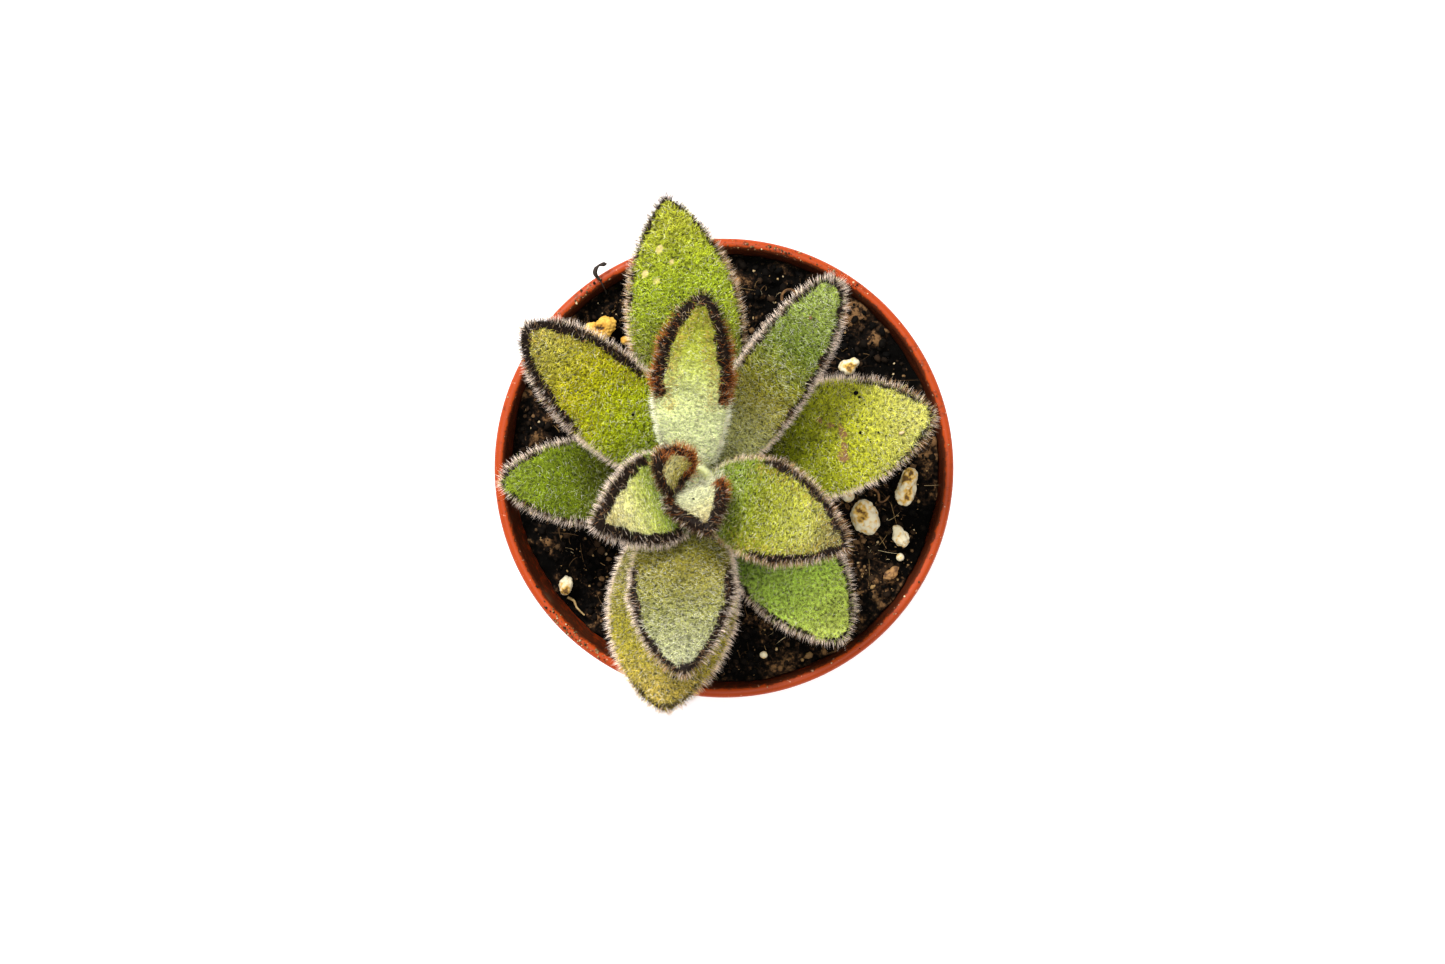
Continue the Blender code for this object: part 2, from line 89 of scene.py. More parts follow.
def set_ramp(node, stops):
    """Give a colour ramp its stops: pairs of a place and a hex, linear or grey colour."""
    elements = node.color_ramp.elements
    while len(elements) < len(stops):
        elements.new(1.0)
    for element, (place, colour) in zip(elements, stops):
        element.position = place
        rgb = linear(colour) if isinstance(colour, str) else np.ones(3) * colour
        element.color = (*rgb, 1.0)
    return node


def new_material(name, **plain):
    """A Principled material; plain gives its unlinked values by socket name."""
    made = bpy.data.materials.new(name)
    made.use_nodes = True
    shader = made.node_tree.nodes["Principled BSDF"]
    for socket, value in plain.items():
        shader.inputs[socket.replace("_", " ")].default_value = value
    return made, made.node_tree, shader


# %% Mesh helpers
def mesh_from_arrays(name, points, loops, sizes, material=None, smooth=True):
    """A mesh from vertex places, the vertex of each face corner, and corners per face."""
    mesh = bpy.data.meshes.new(name)
    mesh.vertices.add(len(points))
    mesh.vertices.foreach_set("co", np.ascontiguousarray(points, np.float32).ravel())
    mesh.loops.add(len(loops))
    mesh.loops.foreach_set("vertex_index", np.asarray(loops, np.int32))
    starts = np.concatenate([[0], np.cumsum(sizes)[:-1]])
    mesh.polygons.add(len(sizes))
    mesh.polygons.foreach_set("loop_start", starts.astype(np.int32))
    mesh.update(calc_edges=True)
    mesh.validate()
    if smooth:
        mesh.shade_smooth()
    piece = bpy.data.objects.new(name, mesh)
    bpy.context.scene.collection.objects.link(piece)
    if material:
        mesh.materials.append(material)
    return piece


def tube_faces(rings, around):
    """Corners of a closed tube: vertex 0 is the first pole, then the rings, then the end."""
    ring, turn = np.meshgrid(np.arange(rings - 1), np.arange(around), indexing="ij")
    here = 1 + ring * around + turn
    side = 1 + ring * around + (turn + 1) % around
    quads = np.stack([here, side, side + around, here + around], -1).reshape(-1, 4)
    turn = np.arange(around)
    after = (turn + 1) % around
    first = np.stack([np.zeros(around, int), 1 + after, 1 + turn], -1)
    base = 1 + (rings - 1) * around
    end = np.full(around, base + around)
    last = np.stack([end, base + turn, base + after], -1)
    loops = np.concatenate([quads.ravel(), first.ravel(), last.ravel()])
    return loops, np.concatenate([np.full(len(quads), 4), np.full(2 * around, 3)])


def tube_mesh(name, start, grid, end, material=None):
    """A closed surface from a grid of rings (ring, around, xyz) and its two poles."""
    rings, around = grid.shape[:2]
    points = np.concatenate([[start], grid.reshape(-1, 3), [end]])
    loops, sizes = tube_faces(rings, around)
    return mesh_from_arrays(name, points, loops, sizes, material)


def set_attribute(piece, name, values):
    """Store one number per vertex, for the material to read."""
    layer = piece.data.attributes.new(name, "FLOAT", "POINT")
    layer.data.foreach_set("value", np.asarray(values, np.float32).ravel())


def set_map(piece, per_corner):
    """Give the mesh its own UV map from one (u, v) pair per face corner."""
    layer = piece.data.uv_layers.new(name="OFBake")
    layer.uv.foreach_set("vector", np.asarray(per_corner, np.float32).ravel())


def finish_piece(piece, nodes):
    """Ride on the plant's one body, and stand for CAD nodes."""
    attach(piece, "root")
    if nodes:
        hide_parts(*nodes)
    print(f"{piece.name}: {len(piece.data.polygons)} faces")


def smooth_step(value):
    """0 below 0, 1 above 1, and 3 s^2 - 2 s^3 between them."""
    value = np.clip(value, 0.0, 1.0)
    return value * value * (3 - 2 * value)


def unit(vectors):
    """Vectors divided by their lengths."""
    return vectors / np.maximum(np.linalg.norm(vectors, axis=-1, keepdims=True), 1e-12)


# %% Noise for shapes
HASH = np.array([73856093, 19349663, 83492791])    # large primes that scatter the cells
NOISE_VALUES = 4096


def lattice_noise(points, size, seed):
    """Smooth value noise from -1 to 1.

    Random numbers sit on a cubic lattice with the given spacing, and a place between them
    gets their blend, eased by the smooth step along each axis.
    """
    table = np.random.default_rng(seed).uniform(-1, 1, NOISE_VALUES)
    place = points / size + 1000.0
    cell = np.floor(place).astype(np.int64)
    part = smooth_step(place - cell)
    total = 0.0
    for corner in np.ndindex(2, 2, 2):
        picked = np.bitwise_xor.reduce((cell + corner) * HASH, -1) & (NOISE_VALUES - 1)
        weight = np.prod(np.where(corner, part, 1 - part), -1)
        total = total + weight * table[picked]
    return total


# %% [markdown]
# ## Camera, light and floor
#
# The plant is looked at from straight above, at about half a metre. A 100 mm lens keeps the
# leaves' perspective mild. The light is a bright, even studio: a white room, one large soft
# lamp from the back left for a little shape, and a white floor that glows slightly, as a
# light table does, so the pot seems to stand in nothing but white.

# %% Camera and room
RIM_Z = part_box("pot")[1].z
RIM_RADIUS = 27.5 * MM
CAMERA_HEIGHT = 480 * MM
CAMERA_ASIDE = (-0.18 * MM, -1.67 * MM)
LAMP_AIM = Vector((0.0, 0.0, 0.06))
FLOOR_HALF = 3.0

scene = bpy.context.scene
camera_data = bpy.data.cameras.new("camera")
camera_data.lens = 100.0
camera_data.sensor_width = 36.0
camera_data.clip_start = 0.01
camera = bpy.data.objects.new("camera", camera_data)
camera.location = (*CAMERA_ASIDE, RIM_Z + CAMERA_HEIGHT)
scene.collection.objects.link(camera)
scene.camera = camera
scene.view_settings.view_transform = "Standard"
scene.view_settings.look = "None"

world = bpy.data.worlds.new("studio")
world.use_nodes = True
sky = world.node_tree.nodes["Background"].inputs
sky["Color"].default_value = (1.0, 1.0, 1.0, 1.0)
sky["Strength"].default_value = 0.5
scene.world = world


# %% Lamps and floor
def soft_lamp(name, place, size, watts):
    """A square area lamp that looks at the plant."""
    data = bpy.data.lights.new(name, "AREA")
    data.size = size
    data.energy = watts
    lamp = bpy.data.objects.new(name, data)
    aim = LAMP_AIM - Vector(place)
    lamp.matrix_world = (Matrix.Translation(place)
                         @ aim.to_track_quat("-Z", "Y").to_matrix().to_4x4())
    scene.collection.objects.link(lamp)


soft_lamp("key lamp", (-0.45, 0.75, 1.15), 0.4, 24.0)
soft_lamp("top lamp", (0.1, -0.1, 1.5), 1.0, 10.0)

# white paper on a light table: matt, and it glows a little, so that shade stays light
floor_material, tree, shader = new_material("white paper floor", Roughness=0.9)
shader.inputs["Base Color"].default_value = (0.9, 0.9, 0.9, 1.0)
shader.inputs["Emission Color"].default_value = (1.0, 1.0, 1.0, 1.0)
shader.inputs["Emission Strength"].default_value = 0.4
floor = mesh_from_arrays(
    "floor", np.array([(-1, -1, 0), (1, -1, 0), (1, 1, 0), (-1, 1, 0)]) * FLOOR_HALF,
    [0, 1, 2, 3], [4], floor_material, smooth=False)
print("camera above the rim:", CAMERA_HEIGHT, "m")

# %% [markdown]
# ## The felt of hairs
#
# What makes this plant is its felt: hairs about half a millimetre long stand on every leaf
# and turn its colour pale. Blender's hair system could grow them, but they must be plain
# mesh to travel with the model, so each hair is a thin closed spike of three sides. All the
# spikes are worked out at once as arrays. Their colour is read from a small palette: one
# direction of the UV map is the tone (black-brown, rust, cream, leaf green, white), the other
# runs from root to tip, so the map is itself the palette.

# %% Spikes as arrays
ROW_START, ROW_SPAN = 0.02, 0.96          # the palette's rows, with a margin
NUDGE = np.array([-0.004, 0.0, 0.004])    # so that no face shrinks to a point on the map
SHINE = 0.70                              # brightness column of a plain hair
TAPER = 0.55


def spikes(roots, ways, bends, lengths, widths, joints, tones, name, material,
           glow=0.0, dark_root=0.3):
    """Closed three-sided spikes.

    A spike's middle line is root + way * length * s + bend * length * s squared, with s
    from 0 to 1. Its radius is half the width, times 1 - 0.55 s, and it ends in a point.
    """
    count = len(roots)
    ways = unit(ways)
    helper = np.where(np.abs(ways[:, 2:3]) < 0.8, [[0.0, 0.0, 1.0]], [[1.0, 0.0, 0.0]])
    left = unit(np.cross(ways, helper))
    up = np.cross(ways, left)
    share = np.linspace(0, 1, joints + 2)
    line = (roots[:, None] + (ways * lengths[:, None])[:, None] * share[:, None]
            + (bends * lengths[:, None])[:, None] * share[:, None] ** 2)
    turn = np.arange(3) * 2 * math.pi / 3
    radius = widths[:, None] / 2 * (1 - TAPER * share[None, :-1])
    offset = (left[:, None, None] * np.cos(turn)[:, None]
              + up[:, None, None] * np.sin(turn)[:, None])
    rings = line[:, :-1, None] + offset * radius[:, :, None, None]
    points = np.concatenate([rings.reshape(count, -1, 3), line[:, -1:]], axis=1)
    per = points.shape[1]

    corners, sizes = [2, 1, 0], [3]
    for ring in range(joints):
        for side in range(3):
            a, b = ring * 3 + side, ring * 3 + (side + 1) % 3
            corners += [a, b, b + 3, a + 3]
            sizes.append(4)
    for side in range(3):
        a, b = joints * 3 + side, joints * 3 + (side + 1) % 3
        corners += [a, b, joints * 3 + 3]
        sizes.append(3)
    corners, sizes = np.array(corners), np.array(sizes)
    loops = (np.arange(count)[:, None] * per + corners).ravel()
    piece = mesh_from_arrays(name, points.reshape(-1, 3), loops,
                             np.tile(sizes, count), material)

    along = np.concatenate([np.repeat(share[:-1], 3), [1.0]])
    aside = np.concatenate([np.tile(NUDGE, joints + 1), [0.0]])
    shine = SHINE + np.zeros(count) + glow
    u = shine[:, None] - dark_root * (1 - along[corners]) + aside[corners]
    v = ROW_START + ROW_SPAN * tones[:, None] + aside[corners]
    set_map(piece, np.clip(np.stack([u, v], -1), 0.0, 1.0))
    return piece


# %% Felt material
# Dry plant hair is a hollow, nearly clear tube: dielectric, IOR about 1.5, rough to the eye
# because thousands of them scatter the light. The tones are places on the palette, from 0 to 1.
TONE = {"black": 0.0, "brown": 0.10, "rust": 0.20, "tan": 0.29, "pink": 0.38, "gold": 0.45,
        "base": 0.52, "lower": 0.61, "upper": 0.70, "tip": 0.79, "pale": 0.90, "white": 1.0}
LEAF_STATIONS = (0.15, 0.42, 0.68, 0.92)
SKIN_SHADE = 0.40                # the skin lies in the hairs' shade
FELT_LIGHT = 1.6                 # and the hairs' tips are lighter than the whole leaf looks


def tinted(hex_colour, factor):
    """The hex colour in linear light, times a factor."""
    return tuple(np.clip(linear(hex_colour) * factor, 0, 1))


def palette_material(name, rows, darkest, lightest, **plain):
    """Colour from the map: v picks the row's colour, u its brightness."""
    made, tree, shader = new_material(name, **plain)
    place = add_node(tree, "ShaderNodeUVMap", uv_map="OFBake")
    parts = add_node(tree, "ShaderNodeSeparateXYZ", {0: place.outputs["UV"]})
    row = set_ramp(add_node(tree, "ShaderNodeValToRGB", {"Fac": parts.outputs["Y"]}), rows)
    light = add_node(tree, "ShaderNodeMapRange", {
        "Value": parts.outputs["X"], "From Min": 0.0, "From Max": 1.0,
        "To Min": darkest, "To Max": lightest}).outputs[0]
    grey = add_node(tree, "ShaderNodeCombineColor", {0: light, 1: light, 2: light})
    lit = add_node(tree, "ShaderNodeMix", {
        "Factor": 1.0, 6: row.outputs["Color"], 7: grey.outputs[0]},
        data_type="RGBA", blend_type="MULTIPLY")
    tree.links.new(lit.outputs[2], shader.inputs["Base Color"])
    return made


def felt_material(name, greens, pale):
    """Palette of one leaf's hairs; greens are its own colours from base to tip."""
    felt = [tinted(colour, FELT_LIGHT) for colour in greens]
    colours = ["#1a120f", "#38281d", "#bc6420", "#c4aa80", "#fce8da", "#d0ac38",
               *felt, pale, "#fbf8e6"]
    rows = [(ROW_START + ROW_SPAN * tone, colour)
            for tone, colour in zip(TONE.values(), colours)]
    return palette_material(name, rows, 0.25, 1.6, Roughness=0.75, IOR=1.5,
                            Specular_IOR_Level=0.12)


# %% [markdown]
# ## The leaves
#
# A leaf of this plant is a thick lance: flat to slightly hollow above, round below, widest
# past its middle, with a rounded base on the stem. It could be sculpted, but a formula keeps
# all thirteen alike: a midrib that rises and turns, an outline across it and a thickness.
# The numbers start from the CAD's solids, and a few leaves are up to a millimetre longer or
# narrower where a closer look at the outline asked for it.

# %% The leaves' shapes
SOIL_TOP = RIM_Z - 3.0 * MM
STEM_MIDDLE = np.array([-2.6, -1.6]) * MM
STEM_LEAN = np.array([-0.06, -0.01])
STEM_FOOT_RADIUS = 2.1 * MM
STEM_TOP_RADIUS = 1.5 * MM
STEM_HEIGHT = 20.0 * MM
FIT_GAP = 0.3 * MM
BUD_SPREAD = 0.9 * MM
STALK_SHARE, STALK_LIMIT = 0.40, 3.2    # width at the base: a share of the leaf's, up to 3.2 mm
MIDRIB_POINTS = 200
SECTION_POWER = 2.6              # 2 would be an ellipse, and more is boxier
RIDGE = 0.5 * math.pi            # the angle of the middle of the upper side

# name: height on the stem (mm), compass, rise, lift, sway (degrees), length, width,
# thickness (mm), fullness of the tip, cup, widest place, twist (degrees)
SHAPES = {
    "leaf_front_right": (3.0, 319.4, 20, 10, -16, 25.0, 10.8, 3.0, 0.75, 0.12, 0.55, 0),
    "leaf_left_outer": (3.4, 180.0, 18, 10, 0, 22.8, 8.8, 3.0, 0.75, 0.12, 0.55, 0),
    "leaf_right_outer": (5.0, 21.3, 20, 8, -12, 28.6, 12.4, 3.0, 0.75, 0.12, 0.55, 0),
    "leaf_back_outer": (6.0, 92.9, 26, 8, 8, 35.3, 12.2, 3.0, 0.85, 0.12, 0.55, 0),
    "leaf_front_outer": (6.6, 255.3, 22, 4, 14, 27.0, 13.8, 3.0, 0.75, 0.12, 0.55, 0),
    "leaf_back_right": (9.0, 52.4, 32, 6, 6, 31.3, 7.4, 3.0, 0.50, 0.12, 0.55, 0),
    "leaf_back_left": (10.2, 137.2, 32, 6, 1, 29.5, 9.6, 3.0, 0.60, 0.12, 0.55, 0),
    "leaf_back_inner": (13.0, 94.9, 40, 6, -18, 26.2, 7.6, 2.8, 0.62, 0.14, 0.55, 0),
    "leaf_front_inner": (13.2, 259.6, 36, 2, 16, 24.8, 10.7, 2.8, 0.75, 0.14, 0.55, 0),
    "leaf_right_inner": (16.4, 340.0, 37, 5, -6, 22.0, 9.9, 2.6, 0.90, 0.14, 0.47, 0),
    "leaf_left_inner": (16.6, 203.6, 45, 5, 0, 15.4, 8.7, 2.6, 0.92, 0.14, 0.36, 8),
    "leaf_bud_front": (20.4, 291.0, 58, -12, 0, 8.5, 6.2, 2.0, 1.00, 0.30, 0.38, 6),
    "leaf_bud_back": (20.6, 143.0, 48, 16, 0, 7.2, 4.9, 2.0, 0.62, 0.50, 0.56, -12),
}
BUDS = ("leaf_bud_front", "leaf_bud_back")


def stem_axis(height):
    """Point of the leaning stem's middle line at a height over the soil."""
    return np.array([*(STEM_MIDDLE + STEM_LEAN * height), SOIL_TOP + height])


def stem_radius(height):
    """Radius that shrinks evenly from the stem's foot to its top."""
    share = min(max(height / STEM_HEIGHT, 0.0), 1.0)
    return STEM_FOOT_RADIUS + (STEM_TOP_RADIUS - STEM_FOOT_RADIUS) * share


# %% A leaf's surface
def leaf_surface(name, stations, angles, teeth=()):
    """Places of a leaf's surface for arrays of stations (0 base, 1 tip) and angles.

    Midrib: the sum of unit steps whose rise and compass angle change evenly from base to
    tip. Half width: lance curve (s / w)^p * ((1 - s) / (1 - w))^f with w the widest place,
    plus a stalk that fades with (1 - s) squared. Section: a rounded box of power 2.6 whose
    sides are lifted by the cup times the square of the distance from the midrib.
    """
    height, compass, rise, lift, sway, length, width, thick, full, cup = SHAPES[name][:10]
    widest, twist = SHAPES[name][10:]
    share = np.linspace(0.0, 1.0, MIDRIB_POINTS)
    rises = np.radians(rise + lift * share)
    turns = np.radians(compass + sway * share)
    along = np.stack([np.cos(rises) * np.cos(turns),
                      np.cos(rises) * np.sin(turns), np.sin(rises)], 1)
    reach = BUD_SPREAD if name in BUDS else stem_radius(height * MM) + FIT_GAP
    start = stem_axis(height * MM) + reach * np.array(
        [math.cos(turns[0]), math.sin(turns[0]), 0.0])
    path = start + np.vstack([np.zeros(3), np.cumsum((along[1:] + along[:-1]) / 2, 0)]
                             ) * (length * MM / (MIDRIB_POINTS - 1))
    side = np.stack([np.sin(turns), -np.cos(turns), 0 * turns], 1)
    up = np.cross(side, along)
    lean = math.radians(twist) * share[:, None]
    side, up = (side * np.cos(lean) + up * np.sin(lean),
                up * np.cos(lean) - side * np.sin(lean))

    # both ends are rounded like a quarter circle: the first 5 % and the last 15 %
    inside = np.clip(stations, 1e-6, 1 - 1e-6)
    round_base = np.sqrt(1 - (1 - np.minimum(stations / 0.05, 1)) ** 2)
    blade = ((inside / widest) ** (full * widest / (1 - widest))
             * ((1 - inside) / (1 - widest)) ** full)
    stalk = min(STALK_SHARE * width, STALK_LIMIT) * (1 - stations) ** 2
    half_width = MM / 2 * round_base * (stalk + width * blade)
    round_tip = np.sqrt(np.clip(1 - (np.maximum(stations - 0.85, 0) / 0.1501) ** 2, 0, 1))
    swell = 0.6 + 0.4 * np.sin(math.pi * stations ** 0.9)
    half_thick = thick / 2 * MM * swell * round_base * round_tip

    power = 2 / SECTION_POWER
    across = np.sign(np.cos(angles)) * np.abs(np.cos(angles)) ** power
    over = np.sign(np.sin(angles)) * np.abs(np.sin(angles)) ** power
    grow = np.ones(np.broadcast(stations, angles).shape)
    for place, which, size in teeth:
        grow += size * np.exp(-((stations - place) / 0.035) ** 2) * (
            np.sign(across) == which)
    x = half_width * across * grow
    z = half_thick * over + cup * x * x / (width / 2 * MM)
    line = [np.stack([np.interp(stations, share, part[:, k]) for k in range(3)], -1)
            for part in (path, side, up)]
    return line[0] + x[..., None] * line[1] + z[..., None] * line[2], x, half_width


# %% [markdown]
# Colour comes in three layers, from the real leaf: the green skin, which changes from base to
# tip and is mottled because hairs shade it; a dark brown edge band, strongest at the tip,
# where young leaves are nearly black; and small corky scars. The broad changes are numbers
# stored on the mesh, and the fine mottling is noise in the material, at the felt's scale.

# %% The leaves' colours
# greens: colours at four places from base to tip, as the felted leaf looks; pale: its light
# hairs; band: the dark edge's width (mm), the station where it starts on the left and on the
# right side, and its strength; fringe: tone of the edge's hairs, and at the tip; white: how
# much of the felt is white at the base and at the tip. Some leaves also have painted shade
# along the midrib (darker hairs there), gold (yellow just inside the dark edge), a ring (the
# station where the dark edge closes at the base), a sunny side (-1 left, 1 right) that turns
# rusty, a scar colour, and a lighter skin: its shade, and how dark its speckles are.
LOOKS = {
    "leaf_front_right": dict(
        greens=("#4f5f22", "#7c953a", "#b6d058", "#c4d162"), pale="#cfd48a",
        band=(0.22, 0.4, 0.3, 0.75), fringe=("pink", "pink"), white=(0.2, 0.15), shade=0.85),
    "leaf_left_outer": dict(
        greens=("#54601f", "#686e17", "#7d8f16", "#97aa2a"), pale="#aab46a",
        band=(0.22, 0.3, 0.3, 0.8), fringe=("pink", "pink"), white=(0.2, 0.14)),
    "leaf_right_outer": dict(
        greens=("#454313", "#939b10", "#d4d537", "#e7df70"), pale="#dcd88a",
        band=(0.34, 0.62, 0.66, 0.62), fringe=("pink", "tan"), white=(0.12, 0.25)),
    "leaf_back_outer": dict(
        greens=("#6f7a30", "#8c9038", "#bfd336", "#c1c23b"), pale="#d6d684",
        band=(0.22, 0.5, 0.2, 0.7), fringe=("tan", "brown"), white=(0.2, 0.15)),
    "leaf_front_outer": dict(
        greens=("#8a8440", "#a39a4c", "#c6ba3c", "#ccb450"), pale="#dccb92",
        band=(0.5, 0.8, 0.8, 0.5), fringe=("pink", "tan"), white=(0.3, 0.25)),
    "leaf_back_right": dict(
        greens=("#e7e792", "#aca137", "#7b8e2c", "#abbc57"), pale="#bcc08c",
        band=(0.35, 0.4, 0.25, 0.8), fringe=("pink", "pink"), white=(0.35, 0.3)),
    "leaf_back_left": dict(
        greens=("#84992a", "#bac41a", "#c7c018", "#ccc15b"), pale="#d2ca74",
        band=(0.85, 0.45, 0.40, 1.0), fringe=("pink", "pink"), white=(0.2, 0.2), gold=0.3),
    "leaf_back_inner": dict(
        greens=("#e0eab4", "#dde6a0", "#bcc24e", "#8d9128"), pale="#eef2c6",
        band=(0.98, 0.36, 0.33, 1.0), fringe=("rust", "black"), white=(0.40, 0.1), gold=0.8,
        shade=0.85, speckle=0.6),
    "leaf_front_inner": dict(
        greens=("#a0a03c", "#b0a440", "#a6a65c", "#c8ca96"), pale="#dad4aa",
        band=(0.62, 0.34, 0.38, 1.0), fringe=("pink", "tan"), white=(0.3, 0.45), painted_groove_shade=0.8),
    "leaf_right_inner": dict(
        greens=("#88a038", "#9ea324", "#cfcf54", "#8c7e48"), pale="#dcd88c",
        band=(0.60, 0.26, 0.38, 1.0), fringe=("tan", "tan"), white=(0.25, 0.3), gold=0.4),
    "leaf_left_inner": dict(
        greens=("#5c8424", "#b9c258", "#efe69a", "#b8a86c"), pale="#ece4b4",
        band=(1.05, 0.12, 0.2, 1.0), fringe=("pink", "pink"), white=(0.15, 0.4),
        shade=0.7, speckle=0.6),
    "leaf_bud_front": dict(
        greens=("#d8dcb0", "#cfd0a0", "#c8bf8c", "#8a7448"), pale="#e6e2b8",
        band=(1.2, 0.15, 0.15, 1.0), fringe=("rust", "brown"), white=(0.4, 0.25),
        shade=0.6, speckle=0.6, sunny=-1),
    "leaf_bud_back": dict(
        greens=("#7a7424", "#c8ba5e", "#efe39a", "#c09a48"), pale="#b4aa6c",
        band=(0.95, -0.2, -0.2, 1.0), fringe=("rust", "brown"), white=(0.3, 0.3), ring=0.08,
        shade=0.7, sunny=1),
}
# notches and beads on an edge: (station, side of the midrib, growth)
TEETH = {
    "leaf_back_inner": ((0.53, -1, 0.12), (0.71, -1, 0.11), (0.54, 1, 0.12), (0.72, 1, 0.10)),
    "leaf_front_inner": ((0.55, -1, 0.05), (0.60, 1, 0.05)),
    "leaf_right_inner": ((0.42, -1, 0.06), (0.62, 1, 0.06)),
}


# %% Leaf skin material
def skin_material(name, look):
    """Thick succulent skin: waxy dielectric under felt, so it looks matt.

    Its colour is the green from base to tip, times the speckle, times the slow patches. The
    edge band's brown is laid over that by the band's strength, and the scar's colour last.
    """
    made, tree, shader = new_material(name, Roughness=0.62, IOR=1.42,
                                      Specular_IOR_Level=0.2)
    along, band, scar = (
        add_node(tree, "ShaderNodeAttribute", attribute_name=kind).outputs["Fac"]
        for kind in ("along", "band", "scar"))
    place = add_node(tree, "ShaderNodeTexCoord").outputs["Object"]
    skin = [tinted(colour, look.get("shade", SKIN_SHADE)) for colour in look["greens"]]
    green = set_ramp(add_node(tree, "ShaderNodeValToRGB", {"Fac": along}),
                     list(zip(LEAF_STATIONS, skin)))
    # mottling where hairs shade the skin: 0.35 mm; slow patches: 4 mm
    fine = add_node(tree, "ShaderNodeTexNoise",
                    {"Vector": place, "Scale": 1 / (0.35 * MM), "Detail": 2.0})
    slow = add_node(tree, "ShaderNodeTexNoise",
                    {"Vector": place, "Scale": 1 / (4.0 * MM), "Detail": 1.0})
    speckle = set_ramp(add_node(tree, "ShaderNodeValToRGB", {"Fac": fine.outputs["Fac"]}),
                       [(0.36, look.get("speckle", 0.25)), (0.64, 1.6)])
    patch = set_ramp(add_node(tree, "ShaderNodeValToRGB", {"Fac": slow.outputs["Fac"]}),
                     [(0.3, 0.85), (0.7, 1.12)])
    mottled = add_node(tree, "ShaderNodeMix", {
        "Factor": 1.0, 6: green.outputs["Color"], 7: speckle.outputs["Color"]},
        data_type="RGBA", blend_type="MULTIPLY")
    patched = add_node(tree, "ShaderNodeMix", {
        "Factor": 1.0, 6: mottled.outputs[2], 7: patch.outputs["Color"]},
        data_type="RGBA", blend_type="MULTIPLY")
    dark = set_ramp(add_node(tree, "ShaderNodeValToRGB", {"Fac": band}),
                    [(0.15, 0.0), (0.65, 1.0)])
    edged = add_node(tree, "ShaderNodeMix", {
        "Factor": dark.outputs["Color"], 6: patched.outputs[2],
        7: (*linear("#1c120b"), 1.0)}, data_type="RGBA")
    corky = set_ramp(add_node(tree, "ShaderNodeValToRGB", {"Fac": scar}),
                     [(0.35, 0.0), (0.6, 1.0)])
    scarred = add_node(tree, "ShaderNodeMix", {
        "Factor": corky.outputs["Color"], 6: edged.outputs[2],
        7: (*linear(look.get("scar", "#dcc888")), 1.0)}, data_type="RGBA")
    tree.links.new(scarred.outputs[2], shader.inputs["Base Color"])
    bump = add_node(tree, "ShaderNodeBump", {
        "Height": fine.outputs["Fac"], "Strength": 0.6, "Distance": 0.2 * MM})
    tree.links.new(bump.outputs["Normal"], shader.inputs["Normal"])
    return made


# %% Scars and the dark edge
# scars on a leaf: (station, share of the half width, radius in mm)
SCARS = {
    "leaf_back_outer": ((0.835, -0.42, 0.55), (0.752, -0.75, 0.5), (0.786, -0.15, 0.36),
                        (0.876, 0.0, 0.26), (0.719, -0.50, 0.42)),
    "leaf_right_outer": ((0.607, -0.18, 0.36), (0.607, 0.02, 0.46), (0.600, 0.20, 0.55),
                         (0.588, 0.40, 0.75),
                         (0.560, -0.22, 0.40), (0.525, -0.36, 0.42)),
}
LOOKS["leaf_right_outer"]["scar"] = "#7d5c3c"
STATIONS, AROUND = 132, 88
GROWN = np.random.default_rng(7)


def band_values(look, length, station, x, half_width, above, place):
    """Strength of the dark edge: 1 at the rim, 0 a ragged width further in. Also returns
    how far inwards a place lies: the nearer of the side edge and the tip, in mm."""
    width, left_start, right_start, strength = look["band"]
    start = np.where(x < 0, left_start, right_start)
    rise = smooth_step((station - start) / 0.14)
    edge = (half_width - np.abs(x)) / MM
    inward = np.minimum(edge, (1 - station) * length * 0.8)
    if "ring" in look:
        inward = np.minimum(inward, np.maximum(station - look["ring"], 0) * length * 0.8)
    ragged = (0.26 * lattice_noise(place, 1.1 * MM, 5)
              + 0.16 * lattice_noise(place, 0.45 * MM, 6))
    inside = smooth_step((width - inward - ragged) / 0.4 + 0.5)
    return inside * strength * rise * np.where(above, 1.0, 0.5), inward


